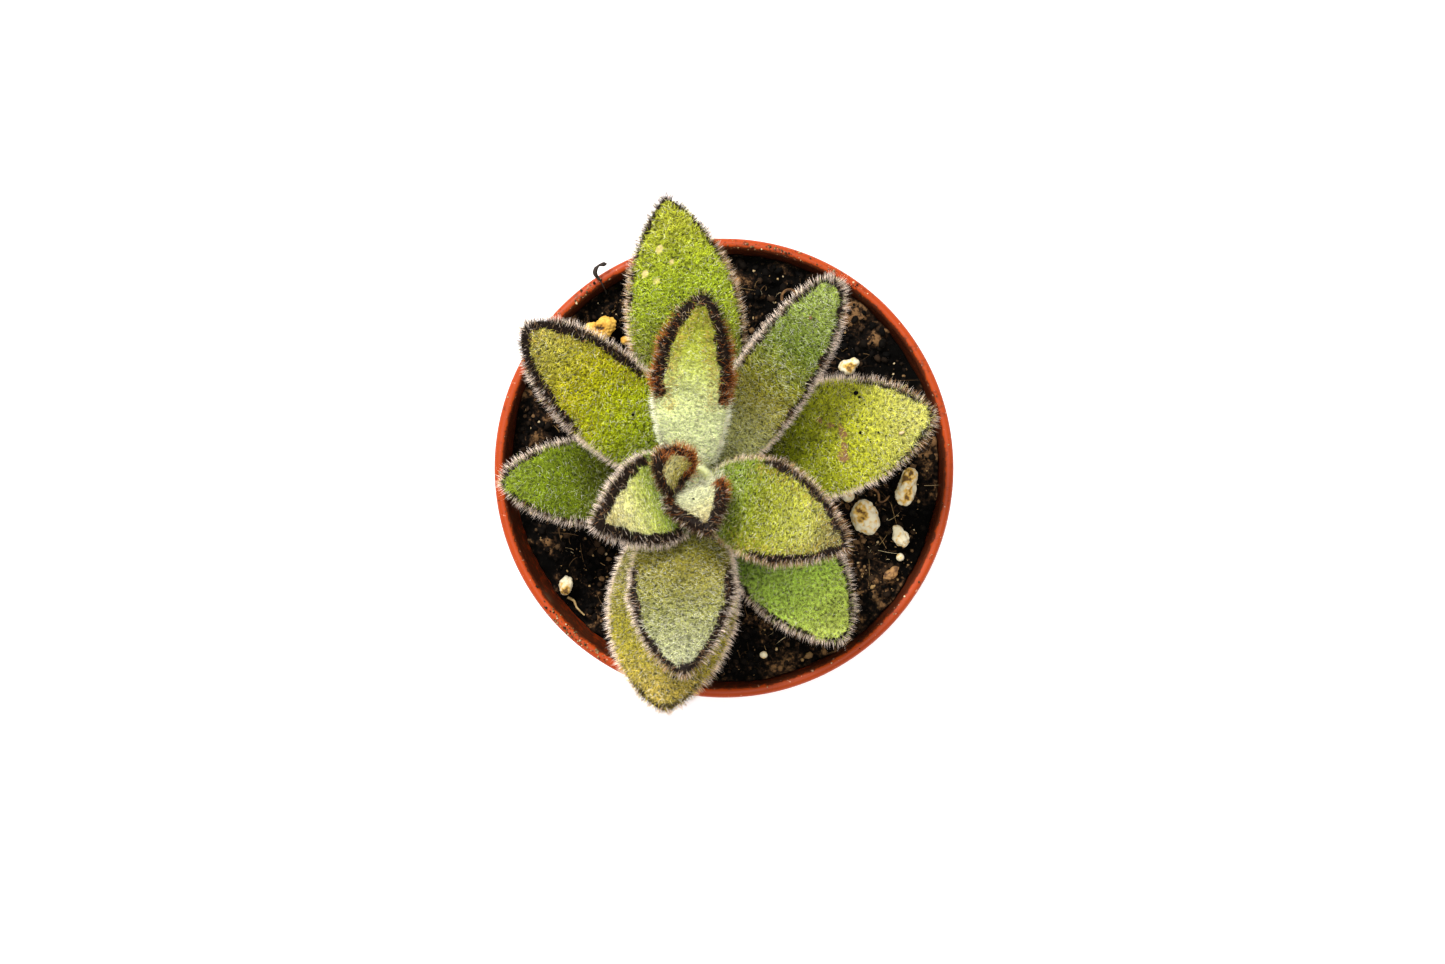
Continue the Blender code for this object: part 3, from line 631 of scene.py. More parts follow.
# %% One leaf's skin
def make_leaf(name):
    """Skin, felt and fringe of one leaf.

    The stations are (1 - cos) / 2 of even angles, so the rings are closer at both ends.
    """
    look = LOOKS[name]
    slot = frame_slots[name]
    t = (1 - np.cos(np.linspace(0, math.pi, STATIONS + 2)[1:-1])) / 2
    angle = np.linspace(0, 2 * math.pi, AROUND, endpoint=False)
    stations, angles = np.meshgrid(t, -angle, indexing="ij")
    teeth = TEETH.get(name, ())
    grid, x, half_width = leaf_surface(name, stations, angles, teeth)
    poles, _, _ = leaf_surface(name, np.array([0.0, 1.0]), np.zeros(2))
    skin = tube_mesh(name + "_skin", poles[0], grid, poles[1],
                     skin_material("kalanchoe leaf, " + name[5:].replace("_", " "), look))
    above = np.sin(angles) > -0.05
    band, inward = band_values(look, SHAPES[name][5], stations, x, half_width, above, grid)
    scar = np.zeros_like(band)
    for place, share, radius in SCARS.get(name, ()):
        away = np.hypot((stations - place) * SHAPES[name][5],
                        (x / np.maximum(half_width, 1e-9) - share) * half_width / MM)
        away += 0.3 * lattice_noise(grid, 0.4 * MM, 9)
        scar = np.maximum(scar, smooth_step(1.5 - away / radius) * above)
    set_attribute(skin, "along", np.concatenate([[0.0], stations.ravel(), [1.0]]))
    set_attribute(skin, "band", np.concatenate([[0.0], band.ravel(), [look["band"][3]]]))
    set_attribute(skin, "scar", np.concatenate([[0.0], scar.ravel(), [0.0]]))
    lay_skin_map(skin, STATIONS, AROUND)
    finish_piece(skin, [name])
    leaf = dict(name=name, look=look, slot=slot, grid=grid, stations=stations, angles=angles,
                x=x, band=band, inward=inward, scar=scar)
    grow_fringe(leaf, grow_felt(leaf))


def lay_skin_map(piece, rings, around):
    """UV map of a closed tube: u once round, v from base to tip, with the seam closed."""
    ring, turn = np.meshgrid(np.arange(rings - 1), np.arange(around), indexing="ij")
    quads = np.stack([np.stack([turn, ring], -1), np.stack([turn + 1, ring], -1),
                      np.stack([turn + 1, ring + 1], -1), np.stack([turn, ring + 1], -1)],
                     -2).reshape(-1, 2)
    turn = np.arange(around)
    low, high = np.full(around, -1.0), np.full(around, rings)
    first = np.stack([np.stack([turn + 0.5, low], -1), np.stack([turn + 1, 0 * low], -1),
                      np.stack([turn, 0 * low], -1)], -2).reshape(-1, 2)
    last = np.stack([np.stack([turn + 0.5, high], -1), np.stack([turn, high - 1], -1),
                     np.stack([turn + 1, high - 1], -1)], -2).reshape(-1, 2)
    both = np.concatenate([quads, first, last])
    set_map(piece, both * [0.98 / around, 0.96 / (rings + 1)] + [0.01, 0.02])


# %% [markdown]
# The hairs stand on the skin's grid. Cells are drawn by their area, so the felt is even, and
# a hair's place inside its cell is random. On the upper side hairs lean outwards and towards
# the tip; at the edge they stand straight out and are twice as long, which makes the fringe.

# %% How much felt
FELT_PER_MM2 = 36.0
UNDERSIDE_SHARE = 0.45           # the felt is thinner below
FRINGE_PER_MM = 40.0
HAIR_LENGTH = 0.58 * MM
FRINGE_LENGTH = 1.05 * MM
HAIR_WIDTH = 0.052 * MM          # three times the real width, so that it shows
ROOTED = 0.03 * MM               # how deep a hair's root stands in the skin


# %% Reading the skin's grid
def cell_areas(grid):
    """Area and outward normal of each cell: the cross product of its two sides."""
    wrapped = np.concatenate([grid, grid[:, :1]], 1)
    one = wrapped[1:, :-1] - wrapped[:-1, :-1]
    two = wrapped[:-1, 1:] - wrapped[:-1, :-1]
    return np.linalg.norm(np.cross(one, two), axis=-1), unit(np.cross(two, one))


def read_cells(values, rows, columns, down, aside):
    """Bilinear reading of a grid that is closed round its second direction."""
    right = (columns + 1) % values.shape[1]
    shape = (len(rows),) + (1,) * (values.ndim - 2)
    down, aside = down.reshape(shape), aside.reshape(shape)
    top = values[rows, columns] * (1 - aside) + values[rows, right] * aside
    low = values[rows + 1, columns] * (1 - aside) + values[rows + 1, right] * aside
    return top * (1 - down) + low * down


def draw_cells(weights, count):
    """Draw cells by their weights, and a random place inside each."""
    share = weights.ravel() / weights.sum()
    picked = GROWN.choice(len(share), size=count, p=share)
    rows, columns = np.unravel_index(picked, weights.shape)
    return rows, columns, GROWN.random(count), GROWN.random(count)


def draw_roots(leaf, weight, normals, count):
    """Draw hair roots on a leaf: their cells, places, normals and stations, and the unit
    vectors that point along the leaf and outwards from its ridge."""
    cells = draw_cells(weight, count)
    root = read_cells(leaf["grid"], *cells)
    station = read_cells(leaf["stations"], *cells)
    ridge = np.full(count, RIDGE)
    middle = leaf_surface(leaf["name"], station, ridge)[0]
    ahead = leaf_surface(leaf["name"], np.minimum(station + 0.02, 1.0), ridge)[0]
    return (cells, root, normals[cells[0], cells[1]], station, unit(ahead - middle),
            unit(root - middle))


# %% Tones of the felt
def felt_tones(look, count, station, edge_band, inward, x, woolly):
    """Palette tone of each hair, and which hairs are rusty.

    Leaf green by the station, with a share of white. Yellow just inside the dark edge, and
    black-brown in it, rusty where the leaf is young, with one pale hair in eight.
    """
    chance = GROWN.random(count)
    white = np.maximum(np.interp(station, [0.0, 1.0], look["white"]), 0.9 * woolly)
    green = [TONE[tone] for tone in ("base", "lower", "upper", "tip")]
    tone = np.interp(station, LEAF_STATIONS, green) + GROWN.normal(size=count) * 0.02
    tone = np.where(chance < white, GROWN.uniform(TONE["pale"], TONE["white"], count), tone)
    width, start = look["band"][:2]
    near_band = np.exp(-((inward - width - 0.7) / 0.7) ** 2) * (station > start)
    golden = GROWN.random(count) < near_band * look.get("gold", 0.0)
    tone = np.where(golden, TONE["gold"] + GROWN.normal(size=count) * 0.01, tone)
    dark = edge_band + GROWN.normal(size=count) * 0.14 > 0.42
    young = GROWN.random(count) < np.interp(station, [0.0, 0.4, 0.62], [0.9, 0.6, 0.05])
    if "sunny" in look:
        sunny = x * look["sunny"] > 0
        young &= sunny | (GROWN.random(count) < 0.3)
    if "ring" in look:
        young = GROWN.random(count) < np.where(sunny, 0.85, 0.1)
    rusty = dark & young & (look["fringe"][0] == "rust")
    tone = np.where(dark, GROWN.uniform(TONE["black"], TONE["brown"], count), tone)
    tone = np.where(rusty, GROWN.uniform(TONE["brown"] + 0.02, TONE["rust"] + 0.03, count), tone)
    crossing = dark & (GROWN.random(count) < 0.12)
    tone = np.where(crossing, TONE["tan"] + GROWN.uniform(-0.06, 0.05, count), tone)
    return tone, rusty


# %% Felt of one leaf
def grow_felt(leaf):
    """Short hairs of one leaf; returns its palette.

    A hair's way is 0.35 to 0.95 times the normal, plus a unit vector that mixes the leaf's
    direction, the outward one and a random one in the surface. Noise paints patches of hairs
    lighter and darker, as painted light and shade of clumps, and hairs near the midrib get
    painted shade.
    """
    name, look = leaf["name"], leaf["look"]
    areas, normals = cell_areas(leaf["grid"])
    sides = np.where(np.sin(leaf["angles"][:-1]) > 0, 1.0, UNDERSIDE_SHARE)
    weight = areas * sides * (1 - leaf["scar"][:-1])
    count = int(weight.sum() / MM ** 2 * FELT_PER_MM2)
    cells, root, normal, station, along, outwards = draw_roots(leaf, weight, normals, count)
    edge_band, inward, x = (read_cells(leaf[kind], *cells) for kind in ("band", "inward", "x"))
    wild = GROWN.normal(size=(count, 3)) * 0.75
    wild -= (wild * normal).sum(-1, keepdims=True) * normal
    lying = unit(0.55 * along + 0.35 * outwards + wild)
    way = normal * GROWN.uniform(0.35, 0.95, (count, 1)) + lying
    bend = (lying - normal * 0.5) * GROWN.uniform(0.0, 0.35, (count, 1))
    length = HAIR_LENGTH * GROWN.uniform(0.6, 1.35, count)
    woolly = (SHAPES[name][0] > 12) * np.exp(-(station / 0.13) ** 2)
    bushy = 1 + 0.5 * (edge_band > 0.45) + 1.1 * woolly
    tone, rusty = felt_tones(look, count, station, edge_band, inward, x, woolly)
    # painted shade: the hairs near the midrib are darkened towards the base
    painted_groove_shade = (look.get("painted_groove_shade", 0.0) * np.exp(-(np.abs(x) / MM / 1.6) ** 2)
              * smooth_step((0.75 - station) / 0.3))
    # painted light and shade: noise lightens and darkens patches of hairs, as clumps catching
    # light would
    painted_clump_light_and_shade = (0.30 * lattice_noise(root, 0.42 * MM, 71)
             + 0.14 * lattice_noise(root, 1.5 * MM, 72))
    glow = GROWN.normal(size=count) * 0.22 + painted_clump_light_and_shade - 0.45 * painted_groove_shade + 0.35 * rusty
    palette = felt_material("felt, " + name[5:].replace("_", " "), look["greens"],
                            look["pale"])
    felt = spikes(root - normal * ROOTED, way, bend, length * bushy,
                  HAIR_WIDTH * GROWN.uniform(0.8, 1.3, count), 0, tone,
                  name + "_felt", palette, glow)
    finish_piece(felt, [])
    return palette


# %% Fringe of one leaf
def grow_fringe(leaf, palette):
    """Longer hairs that stand out all round the edge and forwards at the tip.

    A hair's way is the normal, plus 0.8 times the outward vector, plus the leaf's direction
    times 0.25, or 1.15 at the tip, plus a little at random.
    """
    name, look = leaf["name"], leaf["look"]
    areas, normals = cell_areas(leaf["grid"])
    edge_cells = np.exp(-(np.sin(leaf["angles"][:-1]) / 0.33) ** 2)
    tip_cells = smooth_step((leaf["stations"][:-1] - 0.978) / 0.014)
    weight = areas * np.maximum(edge_cells, tip_cells) * (1 + 0.5 * tip_cells)
    count = int(SHAPES[name][5] * 2.1 * FRINGE_PER_MM)
    cells, root, normal, station, along, outwards = draw_roots(leaf, weight, normals, count)
    forward = 0.25 + 0.9 * smooth_step((station - 0.9) / 0.08)[:, None]
    way = (normal + 0.8 * outwards + forward * along
           + GROWN.normal(size=(count, 3)) * 0.22)
    bend = 0.15 * along + GROWN.normal(size=(count, 3)) * 0.10
    length = FRINGE_LENGTH * GROWN.uniform(0.45, 1.15, count)
    side_tone, tip_tone = (TONE[tone] for tone in look["fringe"])
    towards_tip = smooth_step((station - 0.72) / 0.2)
    strong = read_cells(leaf["band"], *cells)
    rusty = (side_tone == TONE["rust"]) & (strong < 0.3)
    tone = np.where(GROWN.random(count) < towards_tip, tip_tone, side_tone)
    if "sunny" in look:
        shaded = read_cells(leaf["x"], *cells) * look["sunny"] < 0
        shaded |= (station > 0.5) & ("ring" not in look)
        tone = np.where(shaded, TONE["brown"], tone)
    tone = np.where(rusty, TONE["white"] - 0.03, tone) + GROWN.uniform(-0.05, 0.02, count)
    over = read_cells(np.sin(leaf["angles"]), *cells)
    dark = (GROWN.random(count) < 0.07 + strong * 0.34) & (over > 0.0)
    tone = np.where(dark, TONE["brown"] + GROWN.uniform(-0.08, 0.02, count), tone)
    pale = GROWN.random(count) < (0.4 if look["fringe"][0] in ("pink", "tan") else 0.1)
    tone = np.where(pale & ~dark, TONE["pink"] + GROWN.uniform(-0.02, 0.02, count), tone)
    glow = 0.33 + 0.03 * rusty + GROWN.normal(size=count) * 0.1
    fringe = spikes(root - normal * ROOTED, way, bend, length,
                    HAIR_WIDTH * GROWN.uniform(0.75, 1.25, count), 1,
                    np.clip(tone, 0, 1), name + "_fringe", palette, glow, dark_root=0.58)
    finish_piece(fringe, [])


# %% Make the leaves
frame_slots = {part["node"]: part["material_slot"] for part in frame["record"]["subparts"]}
for leaf_name in SHAPES:
    make_leaf(leaf_name)

# %% [markdown]
# ## The pot
#
# The pot is one injection moulding of terracotta-coloured polypropylene, with a rolled lip, a
# straighter collar, a tapered body and six drain holes. A lathe shape like this could come
# from the Screw modifier. Here the profile is turned as an array, with the lip's arc in fine
# steps, and the holes are cut with a Boolean modifier that is applied at once, since its
# cutters aren't part of the object.

# %% Pot profile
WALL = 0.9 * MM
FLOOR_THICK = 1.2 * MM
BEAD = 0.65 * MM                 # radius of the rolled lip
BASE_RADIUS = 19.0 * MM
BODY_TOP_RADIUS = 25.2 * MM
COLLAR_RADIUS = 27.1 * MM
COLLAR_FOOT = 41.0 * MM
COLLAR_HEIGHT = 9.0 * MM
COLLAR_DRAFT = 1.2 * MM          # how much narrower the collar is at its foot
FOOT_RING = 17.6 * MM            # the pot stands on the ring outside this radius
FOOT_INSIDE = 17.2 * MM
FOOT_RISE = 0.25 * MM            # the floor's underside stands this much clear
HOLE_RADIUS = 1.8 * MM
HOLE_RING = 14.6 * MM
POT_STEPS = 256


def outer_radius(height):
    """Straight body up to the collar's foot, then the steeper collar."""
    body = BASE_RADIUS + (BODY_TOP_RADIUS - BASE_RADIUS) * height / COLLAR_FOOT
    collar = COLLAR_RADIUS - COLLAR_DRAFT * (RIM_Z - height) / COLLAR_HEIGHT
    return np.where(height >= COLLAR_FOOT, collar, body)


def inner_radius(height):
    """The outside moved in by a wall; its step lies one wall higher."""
    below = np.minimum(height, COLLAR_FOOT - 0.01 * MM)
    return np.where(height >= COLLAR_FOOT + WALL, outer_radius(height),
                    outer_radius(below)) - WALL


def arc(middle, radius, start, end, count):
    """Points of a circle's arc between two angles in degrees."""
    turn = np.radians(np.linspace(start, end, count))
    return np.stack([middle[0] + radius * np.cos(turn),
                     middle[1] + radius * np.sin(turn)], 1)


def line(start, end, count):
    """Evenly spaced points from start to end."""
    share = np.linspace(0, 1, count)[:, None]
    return np.array(start) * (1 - share) + np.array(end) * share


# %% Pot mesh
step_low, step_high = COLLAR_FOOT + WALL, COLLAR_FOOT + 2 * WALL
lip_foot = RIM_Z - 2 * BEAD
inside_low = float(inner_radius(np.array(step_low - 0.02 * MM)))
inside_high = float(inner_radius(np.array(step_high)))
# the profile: the floor and its corner, the inside up to the lip, the lip, the outside down
# to the foot, and the floor's underside
POT_PROFILE = np.concatenate([
    line((2.0 * MM, FLOOR_THICK), (FOOT_INSIDE, FLOOR_THICK), 6),
    arc((FOOT_RING, FLOOR_THICK + 0.6 * MM), 0.6 * MM, -90, -8, 5),
    line((float(inner_radius(np.array(3 * MM))), 3 * MM), (inside_low, step_low), 14),
    line((inside_low + 0.25 * MM, step_low + 0.35 * MM), (inside_high, step_high), 4),
    line((inside_high + 0.1 * MM, step_high + 0.8 * MM),
         (COLLAR_RADIUS - WALL - 0.1 * MM, RIM_Z - 1.6 * MM), 7),
    arc((RIM_RADIUS - BEAD, RIM_Z - BEAD), BEAD, 172, -52, 22),
    line((float(outer_radius(np.array(lip_foot))), lip_foot),
         (float(outer_radius(np.array(COLLAR_FOOT))), COLLAR_FOOT + 0.15 * MM), 8),
    line((25.7 * MM, COLLAR_FOOT - 0.1 * MM), (BODY_TOP_RADIUS, COLLAR_FOOT - 0.7 * MM), 3),
    line((float(outer_radius(np.array(39.5 * MM))), 39.5 * MM),
         (float(outer_radius(np.array(1.2 * MM))), 1.2 * MM), 16),
    arc((BASE_RADIUS - 0.75 * MM, 0.8 * MM), 0.8 * MM, 0, -90, 7),
    line((FOOT_RING, 0.0), (FOOT_INSIDE, FOOT_RISE), 2),
    line((16.8 * MM, FOOT_RISE), (2.0 * MM, FOOT_RISE), 6)])

turn = np.linspace(0, -2 * math.pi, POT_STEPS, endpoint=False)   # faces look outwards
radius, height = POT_PROFILE[:, 0, None], POT_PROFILE[:, 1, None]
pot_grid = np.stack([radius * np.cos(turn), radius * np.sin(turn),
                     height + 0 * turn], -1)
pot = tube_mesh("pot_moulding", (0, 0, FLOOR_THICK), pot_grid, (0, 0, FOOT_RISE))
print("pot profile points:", len(POT_PROFILE))

# %% Drain holes
HOLES, DRILL_STEPS = 6, 40
DRILL_TURN = 0.037               # off the pot's own spokes, so that no two corners meet

turn = DRILL_TURN + np.linspace(0, -2 * math.pi, DRILL_STEPS, endpoint=False)
for number in range(HOLES):
    middle = HOLE_RING * np.array([math.cos(number * math.pi / 3),
                                   math.sin(number * math.pi / 3)])
    drill_grid = np.stack([np.stack([middle[0] + HOLE_RADIUS * np.cos(turn),
                                     middle[1] + HOLE_RADIUS * np.sin(turn),
                                     0 * turn + level], -1)
                           for level in (3 * MM, -3 * MM)])
    drill = tube_mesh("drill", (*middle, 3 * MM), drill_grid, (*middle, -3 * MM))
    cut = pot.modifiers.new("hole", "BOOLEAN")
    cut.operation = "DIFFERENCE"
    cut.solver = "EXACT"
    cut.object = drill
    bpy.context.view_layer.update()
    graph = bpy.context.evaluated_depsgraph_get()
    holed = bpy.data.meshes.new_from_object(pot.evaluated_get(graph))
    pot.modifiers.clear()
    pot.data = holed
    bpy.data.objects.remove(drill)
pot.data.shade_smooth()
pot.data.set_sharp_from_angle(angle=math.radians(40))
where = np.empty(len(pot.data.vertices) * 3, np.float32)
pot.data.vertices.foreach_get("co", where)
where = where.reshape(-1, 3)
# 0 on the outer face and 1 on the inner one, for the dust and the painted shade of the inner
# wall
depth_in = outer_radius(where[:, 2]) - np.hypot(where[:, 0], where[:, 1])
set_attribute(pot, "inner_face", smooth_step((depth_in - 0.45 * WALL) / (0.4 * WALL)))

# %% Pot material
# Terracotta-coloured polypropylene, moulded: a soft satin plastic, IOR 1.49, roughness about
# 0.4. Its wear: peat dust in patches on the lip and inside, where the inner wall is darkened
# further as painted shade; pale flecks on the lip's crown, which are scuffs and painted
# highlight.
plastic, tree, shader = new_material("terracotta polypropylene, moulded", Roughness=0.42,
                                     IOR=1.49, Specular_IOR_Level=0.2)
place = add_node(tree, "ShaderNodeTexCoord").outputs["Object"]
parts = add_node(tree, "ShaderNodeSeparateXYZ", {0: place})
flow = add_node(tree, "ShaderNodeTexNoise",
                {"Vector": place, "Scale": 1 / (9 * MM), "Detail": 2.0})
tint = set_ramp(add_node(tree, "ShaderNodeValToRGB", {"Fac": flow.outputs["Fac"]}),
                [(0.3, "#a83c0e"), (0.7, "#ad4211")])
dust_noise = add_node(tree, "ShaderNodeTexNoise",
                      {"Vector": place, "Scale": 1 / (0.9 * MM), "Detail": 4.0,
                       "Roughness": 0.7})
inner_face = add_node(tree, "ShaderNodeAttribute", attribute_name="inner_face")
# painted shade: the inner wall gets up to 0.36 more of the dark dust colour, as dust and as
# shade
inside = add_node(tree, "ShaderNodeMapRange", {
    "Value": inner_face.outputs["Fac"], "From Min": 0.0, "From Max": 1.0,
    "To Min": 0.0, "To Max": 0.36})
high = add_node(tree, "ShaderNodeMapRange", {
    "Value": parts.outputs["Z"], "From Min": RIM_Z - 10 * MM, "From Max": RIM_Z - 2 * MM,
    "To Min": -0.2, "To Max": 0.0})
back_left = add_node(tree, "ShaderNodeMath", {
    0: parts.outputs["Y"], 1: 2.2, 2: parts.outputs["X"]}, operation="MULTIPLY_ADD")
dusty = add_node(tree, "ShaderNodeMapRange", {
    "Value": back_left.outputs[0], "From Min": -60 * MM, "From Max": 60 * MM,
    "To Min": -0.03, "To Max": 0.07})
dust_and_shade_level = add_node(tree, "ShaderNodeMath", {0: dust_noise.outputs["Fac"],
                                               1: inside.outputs[0]}, operation="ADD")
dust_place = add_node(tree, "ShaderNodeMath", {0: dusty.outputs[0], 1: high.outputs[0]},
                      operation="ADD")
dust_and_shade_total = add_node(tree, "ShaderNodeMath", {0: dust_and_shade_level.outputs[0],
                                               1: dust_place.outputs[0]}, operation="ADD")
dust_and_shade = set_ramp(add_node(tree, "ShaderNodeValToRGB", {"Fac": dust_and_shade_total.outputs[0]}),
                [(0.60, 0.0), (0.78, 0.85)])
dust_and_shade_mixed = add_node(tree, "ShaderNodeMix", {
    "Factor": dust_and_shade.outputs["Color"], 6: tint.outputs["Color"],
    7: (*linear("#2e1b11"), 1.0)}, data_type="RGBA")
# %% Scuffs and painted highlight on the lip's crown
fleck_noise = add_node(tree, "ShaderNodeTexNoise",
                       {"Vector": place, "Scale": 1 / (0.45 * MM), "Detail": 1.0})
fleck = set_ramp(add_node(tree, "ShaderNodeValToRGB", {"Fac": fleck_noise.outputs["Fac"]}),
                 [(0.70, 0.0), (0.76, 0.6)])
crown = add_node(tree, "ShaderNodeMapRange", {
    "Value": parts.outputs["Z"], "From Min": RIM_Z - 0.5 * MM, "From Max": RIM_Z - 0.1 * MM,
    "To Min": 0.0, "To Max": 1.0})
# pale flecks on the crown: scuffs, and painted highlight
scuff_and_highlight = add_node(tree, "ShaderNodeMath", {0: fleck.outputs["Color"], 1: crown.outputs[0]},
                 operation="MULTIPLY")
worn_and_highlit = add_node(tree, "ShaderNodeMix", {
    "Factor": scuff_and_highlight.outputs[0], 6: dust_and_shade_mixed.outputs[2],
    7: (*linear("#f2b592"), 1.0)}, data_type="RGBA")
tree.links.new(worn_and_highlit.outputs[2], shader.inputs["Base Color"])
grain = add_node(tree, "ShaderNodeTexNoise",
                 {"Vector": place, "Scale": 1 / (0.25 * MM), "Detail": 2.0})
bump = add_node(tree, "ShaderNodeBump", {
    "Height": grain.outputs["Fac"], "Strength": 0.25, "Distance": 0.05 * MM})
tree.links.new(bump.outputs["Normal"], shader.inputs["Normal"])
pot.data.materials.clear()
pot.data.materials.append(plastic)
finish_piece(pot, ["pot"])

# %% [markdown]
# ## The soil
#
# The pot is filled with dark peat: a crumbly surface with clods, loose crumbs and root
# fibres, which has slumped towards the front left wall. Displacement in the material would
# not travel with the model, so the surface is a fine round grid lifted by noise at four real
# sizes, from 3 mm clods to quarter-millimetre grit. Loose crumbs are small faceted stones of
# twenty faces, and fibres use the spikes again.

# %% Soil surface
SOIL_EDGE_GAP = 0.1 * MM
SOIL_RINGS, SOIL_AROUND = 138, 520
SOIL_FLOOR = 1.6 * MM
CRUMBS, FIBRES = 5600, 900


def soil_base(x, y):
    """The packed soil: soft ripples, and a slump towards the front left wall."""
    wave = 2 * math.pi / (9 * MM)
    ripple = (np.sin(wave * x + 0.8) * np.cos(1.3 * wave * y)
              + 0.6 * np.sin(2.1 * wave * y - 1.7 * wave * x))
    slump = smooth_step(((-0.80 * x - 0.60 * y) / RIM_RADIUS - 0.45) / 0.5)
    calm = smooth_step(np.hypot(x - STEM_MIDDLE[0], y - STEM_MIDDLE[1])
                       / (4 * STEM_FOOT_RADIUS))
    return SOIL_TOP + calm * MM * (0.35 * ripple / 1.6 - 3.4 * slump)


def soil_top(x, y):
    """Packed soil plus clods: rounded bumps |noise| at falling sizes, and grit."""
    place = np.stack([x, y, 0 * x], -1)
    clods = (0.50 * lattice_noise(place, 3.1 * MM, 1)
             + 0.55 * np.abs(lattice_noise(place, 1.5 * MM, 2))
             + 0.34 * np.abs(lattice_noise(place, 0.75 * MM, 3))
             + 0.14 * lattice_noise(place, 0.36 * MM, 4) - 0.2)
    return soil_base(x, y) + clods * MM


# %% Soil mesh
turn = np.linspace(0, -2 * math.pi, SOIL_AROUND, endpoint=False)
share = np.linspace(0, 1, SOIL_RINGS + 1)[1:, None]
edge = float(inner_radius(np.array(SOIL_TOP))) - SOIL_EDGE_GAP
top_x, top_y = share * edge * np.cos(turn), share * edge * np.sin(turn)
top_z = soil_top(top_x, top_y)
fit = (inner_radius(top_z) - SOIL_EDGE_GAP) / edge
settle = np.where(share > 0.9, 1 + (fit - 1) * (share - 0.9) / 0.1, 1.0)
top_grid = np.stack([top_x * settle, top_y * settle, top_z], -1)
side_levels = np.array([38, 20, 1.6])[:, None] * MM
side_radius = inner_radius(side_levels) - 0.3 * MM
side_grid = np.stack([side_radius * np.cos(turn), side_radius * np.sin(turn),
                      side_levels + 0 * turn], -1)
soil = tube_mesh("peat_plug", (0, 0, float(soil_top(np.zeros(1), np.zeros(1))[0])),
                 np.concatenate([top_grid, side_grid]), (0, 0, SOIL_FLOOR))
depth = np.concatenate([(top_z - soil_base(top_x, top_y)).ravel() / MM,
                        np.full(side_grid.size // 3, 0.2)])
set_attribute(soil, "clod", np.concatenate([[0.2], depth, [0.2]]))
# map: the top as a disc, the side as rings round it, the bottom as a small disc in a corner
ring_radius = np.concatenate([0.40 * share.ravel(), [0.42, 0.45, 0.48]])[:, None]
ring_map = 0.5 + np.stack([ring_radius * np.cos(turn), ring_radius * np.sin(turn)],
                          -1).reshape(-1, 2)
vertex = np.empty(len(soil.data.loops), np.int32)
soil.data.loops.foreach_get("vertex_index", vertex)
per_corner = np.concatenate([[[0.5, 0.5]], ring_map, [[0.5, 0.5]]])[vertex]
bottom = slice(-3 * SOIL_AROUND, None)
per_corner[bottom] = 0.05 + (per_corner[bottom] - 0.5) * 0.09
set_map(soil, per_corner)

# %% Soil material
# Damp peat: fibrous, rough and without gloss. Its colour follows the clods' height: almost
# black in its hollows, as damp and as painted shade, and dark brown on its dry crumbs, partly
# painted light. The pale flecks are dry fibres too small to model.
peat, tree, shader = new_material("peat, damp", Roughness=0.93, IOR=1.4,
                                  Specular_IOR_Level=0.12)
place = add_node(tree, "ShaderNodeTexCoord").outputs["Object"]
clod = add_node(tree, "ShaderNodeAttribute", attribute_name="clod").outputs["Fac"]
grit = add_node(tree, "ShaderNodeTexNoise",
                {"Vector": place, "Scale": 1 / (0.5 * MM), "Detail": 4.0, "Roughness": 0.65})
# painted shade and light: low places are nearly black and high ones brown
height = add_node(tree, "ShaderNodeMath", {0: clod, 1: 0.55, 2: grit.outputs["Fac"]},
                  operation="MULTIPLY_ADD")
tone = set_ramp(add_node(tree, "ShaderNodeValToRGB", {"Fac": height.outputs[0]}), [
    (0.49, "#020100"), (0.65, "#090604"), (0.78, "#2c1e13"), (0.95, "#7a5a3a")])
tree.links.new(tone.outputs["Color"], shader.inputs["Base Color"])
bump = add_node(tree, "ShaderNodeBump", {
    "Height": grit.outputs["Fac"], "Strength": 0.8, "Distance": 0.3 * MM})
tree.links.new(bump.outputs["Normal"], shader.inputs["Normal"])
soil.data.materials.append(peat)
finish_piece(soil, ["soil"])


# %% Loose crumbs
ICO = (1 + math.sqrt(5)) / 2
ICO_POINTS = unit(np.array([(-1, ICO, 0), (1, ICO, 0), (-1, -ICO, 0), (1, -ICO, 0),
                            (0, -1, ICO), (0, 1, ICO), (0, -1, -ICO), (0, 1, -ICO),
                            (ICO, 0, -1), (ICO, 0, 1), (-ICO, 0, -1), (-ICO, 0, 1)], float))
ICO_FACES = np.array([(0, 11, 5), (0, 5, 1), (0, 1, 7), (0, 7, 10), (0, 10, 11), (1, 5, 9),
                      (5, 11, 4), (11, 10, 2), (10, 7, 6), (7, 1, 8), (3, 9, 4), (3, 4, 2),
                      (3, 2, 6), (3, 6, 8), (3, 8, 9), (4, 9, 5), (2, 4, 11), (6, 2, 10),
                      (8, 6, 7), (9, 8, 1)])
STREWN = np.random.default_rng(11)


